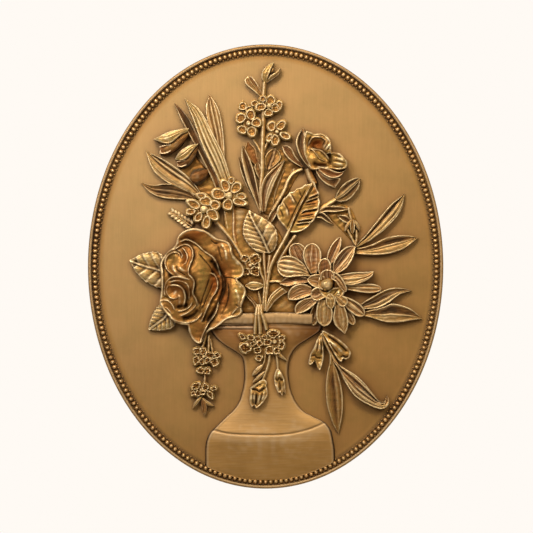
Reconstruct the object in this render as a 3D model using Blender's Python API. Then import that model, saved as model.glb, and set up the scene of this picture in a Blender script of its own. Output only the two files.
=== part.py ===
# Oval wall plaque, cast in one piece: a beaded rim round a plain ground,
# and a vase of garden flowers standing out of the ground in relief.
# The back lies in the plane y = 0, the front looks towards -Y, and +Z is up.
# The bouquet is laid out on a drawing in millimetres, x to the right and z up from
# the middle of the oval, with heights counted outwards from the ground.

import math

import bmesh
import bpy
from mathutils import Vector

MM = 0.001

# Driving sizes of the casting, in metres.
PLAQUE_WIDTH = 0.320
PLAQUE_HEIGHT = 0.400
GROUND_THICKNESS = 0.009
RELIEF_HEIGHT = 0.030          # from the ground to the crest of the rose
RIM_BAND = 0.0095              # from the edge to the inner side of the beads
FILLET_WIDTH = 0.0034          # the plain raised edge outside the beads
FILLET_HEIGHT = 0.0034         # how far that edge stands out of the ground
BEAD_DIAMETER = 0.0041
BEAD_PITCH = 0.0046
BEAD_HEIGHT = 0.0032           # from the ground to the top of a bead
BEAD_GAP_SHARE = 0.15          # height between two beads, as a share of a bead's
EDGE_ROUNDING = 0.0014
RIM_STATIONS = 96

# Keyhole for a wall screw, cut in the back.
KEYHOLE_FROM_TOP = 0.052
KEYHOLE_HEAD_RADIUS = 0.0052
KEYHOLE_SLOT_WIDTH = 0.0050
KEYHOLE_SLOT_RUN = 0.0120
KEYHOLE_LIP = 0.0024
KEYHOLE_FLOOR = 0.0024         # material left between the keyhole and the ground

# The drawing that the bouquet is laid out on, in millimetres.
DRAWN_WIDTH = 320.0
DRAWN_HEIGHT = 400.0
DRAWN_RELIEF = 30.0
ROOT_SHARE = 0.28              # how deep a piece of relief is rooted, as a share of the ground
ROOT_STEP_SHARE = 0.0011       # each piece is rooted a little deeper than the one before
DRAFT = 1.04                   # a piece of relief is this much wider at its root
LEAST_HALF_WIDTH = 0.45        # the blunt end of a blade, in drawn millimetres
KEPT_FACES = 0.66              # share of the faces that is kept where several made one plain
STEM_SPLAY = 0.75              # half-width of a stem at its root, as a share of its width

# Outline of a blade: half-width as t**rise * (1 - t**shoulder)**fall, from base to tip.
FORMS = {
    "lance": (0.75, 1.3, 0.90),
    "leaf": (0.55, 1.7, 0.70),
    "petal": (0.60, 3.2, 0.50),
    "spoon": (0.85, 5.0, 0.50),
    "fan": (0.55, 7.0, 0.40),
}

for leftover in list(bpy.data.objects):
    bpy.data.objects.remove(leftover)

relief = bpy.data.collections.new("relief")
bpy.context.scene.collection.children.link(relief)


# Placing points

def across(x):
    """Drawn millimetres from the middle to metres along X."""
    return x * PLAQUE_WIDTH / DRAWN_WIDTH


def upwards(z):
    """Drawn millimetres from the middle to metres along Z."""
    return z * PLAQUE_HEIGHT / DRAWN_HEIGHT


def outwards(height):
    """Height over the ground in drawn millimetres to metres along Y."""
    return -(GROUND_THICKNESS + height * RELIEF_HEIGHT / DRAWN_RELIEF)


def front(x, z, height):
    """A point of the relief's surface."""
    return Vector((across(x), outwards(height), upwards(z)))


def root(x, z):
    """A point inside the ground, under the relief."""
    sunk = ROOT_SHARE + ROOT_STEP_SHARE * len(relief.objects)
    return Vector((across(x), -GROUND_THICKNESS * (1 - sunk), upwards(z)))


def oval(inset, angle):
    """A point of the plaque's outline, moved in by inset metres."""
    return (
        (PLAQUE_WIDTH / 2 - inset) * math.cos(angle),
        (PLAQUE_HEIGHT / 2 - inset) * math.sin(angle),
    )


def spread(steps):
    """Shares from 0 to 1, closer together near both ends."""
    return [(1 - math.cos(math.pi * i / steps)) / 2 for i in range(steps + 1)]


def through(start, middle, end, t):
    """A quadratic through three values, at t = 0, 0.5 and 1."""
    bulge = middle - (start + end) / 2
    return start + (end - start) * t + bulge * 4 * t * (1 - t)


def form_width(form, t):
    """Half-width of a blade at t, as a share of its widest."""
    rise, shoulder, fall = FORMS[form]

    def raw(share):
        return share**rise * (1 - share**shoulder) ** fall

    widest = max(raw(i / 60) for i in range(61))
    return raw(t) / widest


# Making closed meshes

def new_object(name, mesh_data, collection):
    mesh = bpy.data.meshes.new(name)
    mesh_data.to_mesh(mesh)
    mesh_data.free()
    made = bpy.data.objects.new(name, mesh)
    collection.objects.link(made)
    return made


def loft(name, rings, collection, ring_of_rings=False):
    """Joins rings of points into one closed body, with flat ends unless the rings meet."""
    bm = bmesh.new()
    corners = [[bm.verts.new(point) for point in ring] for ring in rings]
    around = len(rings[0])
    for i in range(len(rings) - (0 if ring_of_rings else 1)):
        near, far = corners[i], corners[(i + 1) % len(rings)]
        for j in range(around):
            k = (j + 1) % around
            bm.faces.new((near[j], near[k], far[k], far[j]))
    if not ring_of_rings:
        bm.faces.new(corners[0])
        bm.faces.new(corners[-1])
    bmesh.ops.triangulate(bm, faces=bm.faces)
    bmesh.ops.recalc_face_normals(bm, faces=bm.faces)
    return new_object(name, bm, collection)


def dome(name, rings, top, collection):
    """Rings of points under a single top point, closed flat below."""
    bm = bmesh.new()
    corners = [[bm.verts.new(point) for point in ring] for ring in rings]
    around = len(rings[0])
    for near, far in zip(corners, corners[1:]):
        for j in range(around):
            k = (j + 1) % around
            bm.faces.new((near[j], near[k], far[k], far[j]))
    peak = bm.verts.new(top)
    for j in range(around):
        bm.faces.new((corners[-1][j], corners[-1][(j + 1) % around], peak))
    bm.faces.new(corners[0])
    bmesh.ops.triangulate(bm, faces=bm.faces)
    bmesh.ops.recalc_face_normals(bm, faces=bm.faces)
    return new_object(name, bm, collection)


def as_helper(made):
    """A body that is joined into the casting and isn't a piece by itself."""
    made.hide_render = True
    made.display_type = "WIRE"
    return made


# Shapes of the relief

def centreline(base, tip, bend, t):
    """Point and left-hand normal at t of the arc from base to tip."""
    run = Vector((tip[0] - base[0], tip[1] - base[1]))
    side = Vector((-run.y, run.x)).normalized()
    point = Vector(base) + run * t + side * bend * 4 * t * (1 - t)
    along = run + side * bend * 4 * (1 - 2 * t)
    return point, Vector((-along.y, along.x)).normalized()


def blade(name, base, tip, width, heights, bend=0.0, form="lance", cup=1.0, groove=0.0, tilt=0.0, steps=4):
    """A leaf or petal: its sides stand cup over its middle line, which has a groove."""
    rings = []
    for t in spread(steps):
        point, side = centreline(base, tip, bend, t)
        half = max(width / 2 * form_width(form, t), LEAST_HALF_WIDTH)
        middle = through(*heights, t)
        share = min(1.0, 2 * half / width)
        left, right = point + side * half, point - side * half
        left_root, right_root = point + side * half * DRAFT, point - side * half * DRAFT
        rings.append([
            root(*left_root),
            front(*left, middle + (cup + tilt) * share),
            front(*point, middle - groove * share),
            front(*right, middle + (cup - tilt) * share),
            root(*right_root),
        ])
    return as_helper(loft(name, rings, relief))


def stem(name, path, width, height):
    """A ridge that follows the points of path, which are (x, z) or (x, z, height)."""
    rings = []
    for i, place in enumerate(path):
        before, after = path[max(i - 1, 0)], path[min(i + 1, len(path) - 1)]
        along = Vector((after[0] - before[0], after[1] - before[1]))
        side = Vector((-along.y, along.x)).normalized() * width * STEM_SPLAY
        point = Vector(place[:2])
        crest = place[2] if len(place) > 2 else height
        rings.append([root(*(point + side)), front(*point, crest), root(*(point - side))])
    return as_helper(loft(name, rings, relief))


def petal_sheet(name, rim, fold, rim_heights, middle_heights, fold_heights):
    """A petal between two lines of points: its free rim and the fold it comes out of."""
    rings = []
    for i, (edge, inner) in enumerate(zip(rim, fold)):
        t = i / (len(rim) - 1)
        halfway = ((edge[0] + inner[0]) / 2, (edge[1] + inner[1]) / 2)
        rings.append([
            root(*edge),
            front(*edge, through(*rim_heights, t)),
            front(*halfway, through(*middle_heights, t)),
            front(*inner, through(*fold_heights, t)),
            root(*inner),
        ])
    return as_helper(loft(name, rings, relief))


def cup_shape(name, centre, radii, turn, rim, floor, sides=9, top=None):
    """A round bowl with a raised rim, or a boss where top is over the rim."""
    turned = math.radians(turn)
    outline = []
    for j in range(sides):
        a = 2 * math.pi * j / sides
        x, z = radii[0] * math.cos(a), radii[1] * math.sin(a)
        outline.append((
            x * math.cos(turned) - z * math.sin(turned),
            x * math.sin(turned) + z * math.cos(turned),
        ))
    cx, cz = centre
    rings = [
        [root(cx + x * DRAFT, cz + z * DRAFT) for x, z in outline],
        [front(cx + x, cz + z, rim) for x, z in outline],
        [front(cx + x * 0.62, cz + z * 0.62, floor) for x, z in outline],
    ]
    peak = front(cx, cz, floor if top is None else top)
    return as_helper(dome(name, rings, peak, relief))


def floret(name, centre, radius, turn, height, petals=5):
    """A small open flower: rounded lobes that rise or sink to its middle."""
    lobes = []
    for j in range(petals):
        for offset, reach in ((-0.28, 1.0), (0.28, 1.0), (0.5, 0.62)):
            a = math.radians(turn) + 2 * math.pi * (j + offset) / petals
            lobes.append((radius * reach * math.cos(a), radius * reach * math.sin(a)))
    cx, cz = centre
    rings = [
        [root(cx + x * DRAFT, cz + z * DRAFT) for x, z in lobes],
        [front(cx + x, cz + z, height) for x, z in lobes],
    ]
    return as_helper(dome(name, rings, front(cx, cz, height - 0.14 * radius), relief))


def bell(name, base, mouth, width, height, lobes=3):
    """A hanging bell flower: a round body that opens into pointed lobes."""
    run = Vector((mouth[0] - base[0], mouth[1] - base[1]))
    side = Vector((-run.y, run.x)).normalized()
    body_share = 0.80
    rings = []
    for t, half_share, lift in ((0.0, 0.18, 0.45), (0.3, 0.62, 0.85), (0.6, 0.95, 1.0), (body_share, 0.86, 0.92)):
        point = Vector(base) + run * t
        half = width / 2 * half_share
        shoulder = side * half * 0.62
        rings.append([
            root(*(point + side * half)),
            front(*(point + side * half), height * lift * 0.45),
            front(*(point + shoulder), height * lift * 0.88),
            front(*(point - shoulder), height * lift * 0.88),
            front(*(point - side * half), height * lift * 0.45),
            root(*(point - side * half)),
        ])
    as_helper(loft(name, rings, relief))
    for i in range(lobes):
        offset = (i - (lobes - 1) / 2) * width * 0.66 / max(lobes - 1, 1)
        start = Vector(base) + run * (body_share - 0.18) + side * offset * 0.8
        end = Vector(base) + run + side * offset * 1.25
        lift = height * (0.95 if i == lobes // 2 else 0.75)
        blade(
            f"{name}_lobe_{i}", start, end, width * 0.42, (lift * 0.85, lift, lift * 0.9), form="leaf",
            cup=0.4, steps=4,
        )


def bud(name, base, tip, width, height):
    """A closed bud with a ridge along it."""
    blade(name, base, tip, width, (height * 0.6, height, height * 0.5), form="leaf", cup=-height * 0.35)


# The ground and its rim

def bead_angles():
    """Angles of the beads, at even steps along the oval that runs through their middles."""
    steps = 3600
    inset = RIM_BAND - BEAD_DIAMETER / 2
    lengths = [0.0]
    for i in range(steps):
        here, there = (oval(inset, 2 * math.pi * k / steps) for k in (i, i + 1))
        lengths.append(lengths[-1] + math.dist(here, there))
    count = round(lengths[-1] / BEAD_PITCH)
    angles, i = [], 0
    for n in range(count):
        wanted = lengths[-1] * n / count
        while lengths[i + 1] < wanted:
            i += 1
        share = (wanted - lengths[i]) / (lengths[i + 1] - lengths[i])
        angles.append(2 * math.pi * (i + share) / steps)
    return angles


def add_ring(bm, angles, insets, depths):
    """A ring of points round the oval, as pairs of an angle and a corner."""
    ring = []
    for angle, inset, depth in zip(angles, insets, depths):
        x, z = oval(inset, angle)
        ring.append((angle, bm.verts.new((x, -depth, z))))
    return ring


def stitch(bm, outer, inner):
    """Joins two rings of different counts with triangles, in the order of their angles."""
    i, j = 0, 0
    turn = 2 * math.pi
    while i < len(outer) or j < len(inner):
        outer_next = outer[(i + 1) % len(outer)][0] + turn * ((i + 1) // len(outer))
        inner_next = inner[(j + 1) % len(inner)][0] + turn * ((j + 1) // len(inner))
        here, there = outer[i % len(outer)][1], inner[j % len(inner)][1]
        if j == len(inner) or (i < len(outer) and outer_next <= inner_next):
            i += 1
            bm.faces.new((here, outer[i % len(outer)][1], there))
        else:
            j += 1
            bm.faces.new((here, inner[j % len(inner)][1], there))


def build_ground():
    """The plate: a flat back, the edge, the plain fillet, the string of beads and the ground."""
    crest = GROUND_THICKNESS + FILLET_HEIGHT
    even = [2 * math.pi * i / RIM_STATIONS for i in range(RIM_STATIONS)]
    beads = bead_angles()
    gaps = [(a + b) / 2 for a, b in zip(beads, beads[1:] + [2 * math.pi])]
    string = [angle for pair in zip(beads, gaps) for angle in pair]
    middle = RIM_BAND - BEAD_DIAMETER / 2
    tops = (GROUND_THICKNESS + BEAD_HEIGHT, GROUND_THICKNESS + BEAD_HEIGHT * BEAD_GAP_SHARE)
    bm = bmesh.new()
    rings = [
        add_ring(bm, even, [0] * len(even), [0] * len(even)),
        add_ring(bm, even, [0] * len(even), [crest - EDGE_ROUNDING] * len(even)),
        add_ring(bm, even, [FILLET_WIDTH * 0.45] * len(even), [crest] * len(even)),
        add_ring(bm, beads, [RIM_BAND - BEAD_DIAMETER] * len(beads), [GROUND_THICKNESS] * len(beads)),
        add_ring(bm, string, [middle] * len(string), tops * len(beads)),
        add_ring(bm, beads, [RIM_BAND] * len(beads), [GROUND_THICKNESS] * len(beads)),
    ]
    for outer, inner in zip(rings, rings[1:]):
        stitch(bm, outer, inner)
    bm.faces.new([corner for angle, corner in rings[0]])
    bm.faces.new([corner for angle, corner in rings[-1]])
    bmesh.ops.recalc_face_normals(bm, faces=bm.faces)
    return new_object("floral_plaque", bm, bpy.context.scene.collection)


# The vase

# Each row of the vase: z, left edge, right edge, height at the edge, height in the middle.
VASE_ROWS = (
    (-187.0, -54.0, 62.0, 0.9, 2.6),
    (-176.0, -54.0, 62.0, 1.6, 4.6),
    (-163.0, -53.5, 61.0, 2.4, 7.0),
    (-154.0, -51.5, 59.0, 2.6, 8.2),
    (-148.5, -48.0, 56.5, 2.4, 8.6),
    (-145.5, -45.0, 54.0, 1.9, 7.2),
    (-139.0, -39.5, 46.5, 1.7, 6.6),
    (-128.0, -28.5, 32.0, 1.7, 6.6),
    (-115.0, -21.0, 23.5, 1.8, 7.0),
    (-98.0, -18.5, 20.5, 1.8, 7.4),
    (-84.0, -20.0, 21.5, 1.8, 7.6),
    (-72.0, -28.0, 26.5, 1.8, 7.8),
    (-64.0, -42.0, 40.0, 1.8, 8.0),
    (-57.0, -51.0, 52.0, 1.8, 8.0),
    (-50.5, -51.0, 52.0, 2.2, 8.2),
)


def build_vase():
    """A footed vase with a waisted neck and a wide mouth, round at the front."""
    rings = []
    for z, left, right, edge, middle in VASE_ROWS:
        inset = RIM_BAND - BEAD_DIAMETER / 2
        room = (PLAQUE_WIDTH / 2 - inset) * math.sqrt(1 - (upwards(z) / (PLAQUE_HEIGHT / 2 - inset)) ** 2)
        limit = room / across(1.0)
        left, right = max(left, -limit), min(right, limit)
        centre, half = (left + right) / 2, (right - left) / 2
        ring = [root(left, z), front(left, z, edge)]
        for share in (-0.86, -0.45, 0.45, 0.86):
            ring.append(front(centre + half * share, z, edge + (middle - edge) * (1 - share**2) ** 0.6))
        ring += [front(right, z, edge), root(right, z)]
        rings.append(ring)
    as_helper(loft("vase", rings, relief))
    lip = [
        [root(-38, z), front(-38, z, lift), front(-20, z, lift + 1.2), front(20, z, lift + 1.2), front(40, z, lift), root(40, z)]
        for z, lift in ((-51.5, 7.4), (-49.5, 9.0), (-43.5, 9.0), (-41.5, 7.0))
    ]
    as_helper(loft("vase_lip", lip, relief))


# The bouquet

def build_spike():
    """The upright spike at the top: its bud, small leaf, florets and stem."""
    stem("spike_stem", [(-1.5, 158), (-2, 140), (-2.5, 120), (-3, 100), (-3.5, 78), (-3.5, 52)], 4.0, 5.0)
    stem("spike_fork_left", [(-11, 114), (-6, 107), (-3, 100)], 2.6, 4.2)
    stem("spike_fork_right", [(5, 117), (1, 109), (-3, 99)], 2.6, 4.2)
    bud("spike_bud_throat", (-1.5, 157), (-0.5, 172), 7.0, 5.6)
    blade("spike_bud_left", (-1.5, 162), (6.5, 182.5), 9.0, (4.5, 7.0, 4.5), bend=2.4, form="leaf", cup=-1.2)
    blade("spike_bud_right", (-0.5, 163), (13, 177), 7.5, (4.5, 6.4, 4.5), bend=-2.6, form="leaf", cup=-1.0)
    blade("spike_leaf", (-4, 151), (-16.5, 170.5), 9.5, (3.4, 4.4, 2.6), form="petal", groove=1.4, cup=0.4)
    floret("floret_top", (2, 144), 10.5, 58, 8.0)
    floret("floret_left", (-15, 129), 11.5, 76, 9.0)
    floret("floret_right", (10, 121.5), 11.0, 55, 8.0)
    floret("floret_back", (-15, 143), 9.5, 40, 3.4)


def build_spike_leaves():
    """The lance leaves that stand beside the spike."""
    blade("lance_leaf_outer", (-8, 60), (-24.5, 99), 7.0, (3.0, 3.6, 2.0), groove=0.8, cup=0.4)
    blade("lance_leaf", (-4, 50), (-21, 109), 13.0, (4.4, 5.6, 4.0), groove=2.2, cup=1.0, bend=-1.5)
    blade("small_leaf_left", (-3, 76), (-8.5, 92), 6.5, (2.6, 3.8, 2.6), form="leaf", cup=0.4)
    blade("small_leaf_mid", (-2, 88), (-12, 108), 9.0, (1.8, 2.4, 1.6), form="leaf", cup=0.4)
    blade("broad_back_leaf", (2, 88), (13, 103), 13.0, (1.8, 2.6, 2.0), form="leaf", cup=0.4)
    blade("boat_leaf", (-1, 49), (17, 96), 16.5, (4.6, 6.4, 4.6), form="leaf", groove=2.2, cup=1.4, bend=3.0, steps=5)


def build_left_spray():
    """The sword leaves, bell flowers and lance leaves of the left side."""
    blade("sword_leaf_broad", (-33, 76), (-72.5, 151), 22.0, (4.0, 5.4, 3.0), groove=1.6, cup=0.2, bend=-1.0, steps=5)
    blade("sword_leaf_right", (-35, 92), (-50, 154.5), 13.5, (3.0, 4.2, 2.6), groove=1.4, cup=0.6, bend=-2.2)
    blade("sword_leaf_narrow", (-42, 70), (-81.5, 146), 8.0, (5.0, 5.4, 2.8), groove=0.8, cup=0.6)
    blade("side_leaf_upper", (-58, 62), (-107.5, 104), 17.0, (3.6, 4.6, 2.0), groove=1.6, cup=0.6, bend=1.6)
    blade("side_leaf_lower", (-64, 61.5), (-112, 74.5), 12.5, (3.0, 3.8, 1.8), form="leaf", groove=1.4, cup=0.4, bend=1.0)
    bell("bell_top", (-70, 123), (-98, 106.5), 15.0, 11.0)
    bell("bell_middle", (-60.5, 109), (-79, 92.5), 14.0, 11.0)
    bud("bell_bottom", (-50, 88.5), (-66.5, 76.5), 13.0, 11.5)


def build_left_flowers():
    """The two open flowers, their stalks and the berry sprig."""
    stem("stalk_upper", [(-29, 56), (-28, 40), (-26.5, 26), (-22, 12)], 4.0, 4.6)
    stem("stalk_lower", [(-50, 48), (-40, 35), (-29, 21), (-18, 6), (-6, -14)], 4.4, 5.0)
    stem("stalk_between", [(-36, 50), (-33, 38), (-31, 26)], 3.0, 3.6)
    floret("flower_upper", (-33, 64.5), 15.0, 30, 10.0, petals=6)
    floret("flower_lower", (-55.5, 51.5), 15.5, 20, 11.0, petals=7)
    stem("berry_sprig", [(-87, 48.5, 2.6), (-80, 44, 3.4), (-74, 40, 3.6), (-66, 34.5, 4.0)], 6.0, 3.4)


def build_rose():
    """The full rose with two hearts, its broad outer petals and its two leaves."""
    blade("rose_leaf_left", (-88, -4), (-122, 5), 29.0, (5.0, 5.0, 2.6), form="leaf", groove=1.6, cup=-0.4, steps=5)
    blade("rose_leaf_low", (-80, -36), (-104, -55.5), 23.0, (6.0, 5.4, 3.0), form="leaf", groove=1.2, cup=-0.4)
    petal_sheet(
        "rose_petal_back",
        [(-80, 20), (-75, 29), (-66, 34), (-54, 32), (-43, 24)],
        [(-76, 8), (-70, 12), (-64, 12), (-56, 8), (-50, 4)],
        (15.0, 18.5, 15.0), (12.0, 13.0, 13.0), (15.0, 19.0, 16.0),
    )
    petal_sheet(
        "rose_petal_top",
        [(-47, 23), (-35, 21), (-29, 11), (-20, 0), (-21, -7), (-27, -13)],
        [(-60, 14), (-52, 8), (-46, 1), (-43, -4), (-40, -9), (-39, -14)],
        (15.0, 17.5, 15.5), (13.0, 11.5, 12.0), (14.0, 13.5, 12.0),
    )
    petal_sheet(
        "rose_petal_right",
        [(-31, -9), (-19, -20), (-20, -29), (-24, -40), (-33, -46), (-44, -57)],
        [(-40, -8), (-41, -16), (-43, -26), (-46, -36), (-50, -44), (-52, -53)],
        (15.0, 18.5, 12.0), (11.0, 13.0, 9.5), (12.0, 13.5, 9.0),
    )
    petal_sheet(
        "rose_petal_drop",
        [(-37, -12), (-39, -24), (-45, -40), (-52, -53), (-58, -68)],
        [(-45, -12), (-50, -28), (-58, -44), (-66, -54), (-64, -64)],
        (15.0, 18.5, 7.5), (14.0, 13.0, 6.5), (17.0, 14.0, 6.5),
    )
    petal_sheet(
        "rose_petal_bowl",
        [(-92, -33), (-86, -44), (-73, -51), (-61, -49), (-55, -40)],
        [(-84, -27), (-80, -37), (-73, -42), (-66, -41), (-62, -36)],
        (15.0, 19.5, 18.0), (16.0, 17.0, 18.0), (22.0, 21.0, 22.0),
    )
    petal_sheet(
        "rose_petal_wrap",
        [(-66, 22), (-54, 12), (-45, 0), (-43, -15), (-50, -31), (-58, -47)],
        [(-74, 14), (-69, 8), (-70, -4), (-68, -14), (-68, -26), (-70, -40)],
        (18.0, 25.0, 17.0), (22.0, 29.5, 18.0), (24.0, 26.0, 19.0),
    )
    cup_shape("rose_body", (-78, -12), (15.5, 31.0), 0, 17.0, 21.0, sides=12, top=20.0)
    cup_shape("rose_heart_upper", (-78.5, 5), (12.5, 14.0), 0, 27.5, 21.0, sides=10)
    cup_shape("rose_heart_upper_coil", (-82.5, 4), (5.6, 7.0), 0, 25.5, 22.5, sides=8)
    cup_shape("rose_heart_lower", (-79.5, -23), (11.5, 14.5), 10, 29.0, 22.0, sides=10)
    cup_shape("rose_heart_lower_coil", (-82, -22), (6.4, 7.2), 0, 28.0, 24.0, sides=8)


def build_peony():
    """The half-open peony seen from the side, on its short stalk."""
    stem("peony_stalk", [(4, 48), (13, 63), (19, 76), (26, 86), (36, 89)], 3.4, 5.0)
    blade("peony_sepal_low", (38, 86), (14.5, 107.5), 11.0, (7.0, 7.6, 6.0), form="leaf", groove=2.0, cup=0.8, bend=-1.0)
    blade("peony_petal_tall", (38, 92), (37, 121), 14.0, (9.0, 10.0, 8.0), form="petal", cup=-1.5)
    blade("peony_cup_back", (46, 96), (50, 117.5), 24.0, (11.0, 12.0, 11.0), form="fan", cup=-2.0)
    cup_shape("peony_mouth", (48, 109), (10.0, 6.8), -10, 14.5, 10.5, sides=9)
    blade("peony_petal_right", (50, 96), (73, 94), 17.0, (12.0, 12.0, 9.0), form="fan", cup=-1.5)
    blade("peony_cup_front", (43, 88), (52, 106), 23.0, (11.0, 15.0, 14.0), form="fan", cup=-3.0)
    blade("peony_petal_low", (38, 86), (73, 87), 14.0, (9.0, 12.0, 9.0), form="petal", groove=1.0, cup=1.2, bend=-3.0)
    blade("peony_petal_under", (40, 86), (66, 71), 12.0, (8.0, 10.0, 7.0), form="leaf", groove=0.8, cup=1.0, bend=-2.4)
    blade("peony_sepal_high", (39, 88), (33, 124.5), 10.0, (9.0, 13.0, 7.5), form="leaf", groove=2.0, cup=1.0, bend=5.0)
    bud("peony_base", (43, 76), (37, 92), 10.0, 9.0)


def build_birch_leaves():
    """The two broad toothed leaves in the middle, with their stalks."""
    blade("toothed_leaf_right", (20, 27), (42, 76), 36.0, (6.0, 8.6, 5.6), form="leaf", groove=1.8, cup=-0.6, bend=1.0, steps=5)
    stem("toothed_stalk_right", [(42, 74, 6.4), (31, 52, 8.8), (21, 29, 8.2), (10, 13, 8.0), (4, -4, 7.6), (0, -40, 9.6)], 2.8, 8.0)
    blade("toothed_leaf_left", (4, 11), (-15, 50), 27.0, (7.0, 8.4, 5.4), form="leaf", groove=1.8, cup=-0.6, bend=-1.0, steps=5)
    stem("toothed_stalk_left", [(3, 16, 7.6), (2, 0, 7.6), (-1, -18, 8.0), (-3, -40, 9.6)], 3.0, 7.6)
    blade("filler_leaf", (2, 36), (12, 58), 9.0, (3.0, 4.0, 3.0), form="leaf", groove=0.8, cup=0.4)


def build_right_leaves():
    """The leaves that reach out to the right, and their small curled twigs."""
    stem("olive_twig_high", [(44, 48), (52, 55), (62, 60)], 4.6, 4.6)
    blade("olive_leaf_top", (58, 58.5), (85.5, 78.5), 12.5, (4.0, 5.4, 4.0), form="leaf", groove=1.4, cup=0.6)
    blade("curled_leaf_high", (45, 48), (76, 50), 5.6, (3.6, 4.6, 3.0), bend=3.0, form="leaf", groove=0.8, cup=0.4)
    blade("curled_leaf_low", (43, 43), (61, 38), 5.6, (3.6, 4.6, 3.0), bend=3.6, form="leaf", groove=0.8, cup=0.4)
    stem("bud_twig", [(75, 52), (77, 42), (80, 30), (81.5, 18)], 3.6, 4.0)
    blade("bud_twig_left", (77, 36), (66, 46), 6.0, (3.0, 4.0, 2.6), form="leaf", cup=0.4, steps=3)
    blade("bud_twig_right", (80, 24), (83.5, 37), 6.0, (3.4, 4.6, 3.0), form="leaf", cup=0.4, steps=3)
    blade("olive_leaf_rising", (80, 17), (125, 65), 11.5, (4.4, 5.4, 2.6), groove=1.6, cup=0.8, bend=-2.6, steps=5)
    blade("olive_leaf_level", (79, 14.5), (136.5, 26), 14.5, (5.0, 6.0, 2.8), form="leaf", groove=1.8, cup=0.8, bend=-0.8, steps=5)
    blade("olive_leaf_third", (84, -38), (130.5, -21), 10.5, (5.0, 6.0, 2.8), form="leaf", groove=1.6, cup=0.8, bend=1.0)
    blade("olive_leaf_lowest", (86, -42), (140.5, -46.5), 16.0, (5.4, 6.6, 2.8), form="leaf", groove=2.0, cup=0.8, bend=2.0, steps=5)


# Petals of the dahlia: direction in degrees, reach, width, height of the middle.
DAHLIA_CENTRE = (55.0, -17.0)
DAHLIA_PETALS = (
    (129.0, 47.0, 15.0, 7.0),
    (73.5, 46.0, 9.0, 6.4),
    (-1.0, 48.0, 9.0, 6.4),
    (-53.0, 41.5, 8.0, 6.0),
    (-110.0, 37.5, 9.0, 6.0),
    (177.0, 42.0, 10.0, 8.4),
    (-38.0, 42.5, 9.5, 8.6),
    (16.0, 43.0, 12.5, 9.4),
    (111.0, 39.5, 14.5, 10.0),
    (53.0, 42.5, 14.5, 10.6),
    (-69.5, 46.0, 14.0, 10.0),
    (-92.5, 36.0, 14.0, 11.0),
    (-139.5, 37.0, 13.5, 10.6),
    (-164.0, 36.5, 14.0, 11.4),
    (155.0, 50.0, 19.0, 11.0),
    (95.0, 24.5, 11.5, 13.6),
    (158.0, 19.0, 9.0, 13.0),
    (-148.0, 17.0, 7.5, 13.0),
    (-79.0, 20.5, 8.5, 13.0),
    (-42.0, 22.0, 9.0, 13.0),
    (16.0, 17.0, 8.0, 13.0),
)


def build_dahlia():
    """The large open dahlia: two rows of dished petals round a folded heart."""
    cx, cz = DAHLIA_CENTRE
    for i, (direction, reach, width, height) in enumerate(DAHLIA_PETALS):
        way = Vector((math.cos(math.radians(direction)), math.sin(math.radians(direction))))
        start = Vector((cx, cz)) + way * min(7.0, reach * 0.3)
        end = Vector((cx, cz)) + way * reach
        blade(
            f"dahlia_petal_{i}", start, end, width, (height + 0.5, height, height - 0.5), form="petal",
            groove=1.0, cup=0.8, steps=5,
        )
    cup_shape("dahlia_heart", (57, -18), (11.5, 10.5), 0, 15.0, 11.5, sides=10)
    cup_shape("dahlia_ball", (55.5, -15.5), (5.2, 5.2), 0, 14.0, 16.8, sides=7, top=17.6)
    blade("dahlia_fold", (55, -22.5), (67, -22), 7.5, (12.5, 15.0, 13.0), form="leaf", cup=-1.0, steps=3)


def build_hanging_sprays():
    """The two floret clusters that hang under the rose."""
    stem("hanging_stalk", [(-52, -58), (-54, -76), (-54, -98), (-53, -110)], 3.4, 4.4)
    floret("hanging_floret_a", (-60, -78.5), 8.4, 20, 6.6)
    floret("hanging_floret_b", (-47, -82.5), 8.4, 60, 7.2)
    floret("hanging_floret_c", (-55, -91.0), 7.4, 90, 7.6)
    floret("hanging_floret_d", (-61, -109.5), 8.0, 20, 6.8)
    floret("hanging_floret_e", (-50, -112.5), 8.0, 50, 7.2)
    blade("hanging_tail_left", (-54, -117), (-65, -128), 4.4, (4.0, 4.6, 2.4), form="leaf", bend=-1.4, cup=0.2, steps=3)
    blade("hanging_tail_mid", (-55, -116), (-54.5, -133), 5.0, (4.0, 4.6, 2.4), form="leaf", cup=0.2, steps=3)
    blade("hanging_tail_right", (-54, -116), (-45, -126), 4.4, (4.0, 4.6, 2.4), form="leaf", bend=1.6, cup=0.2, steps=3)


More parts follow.
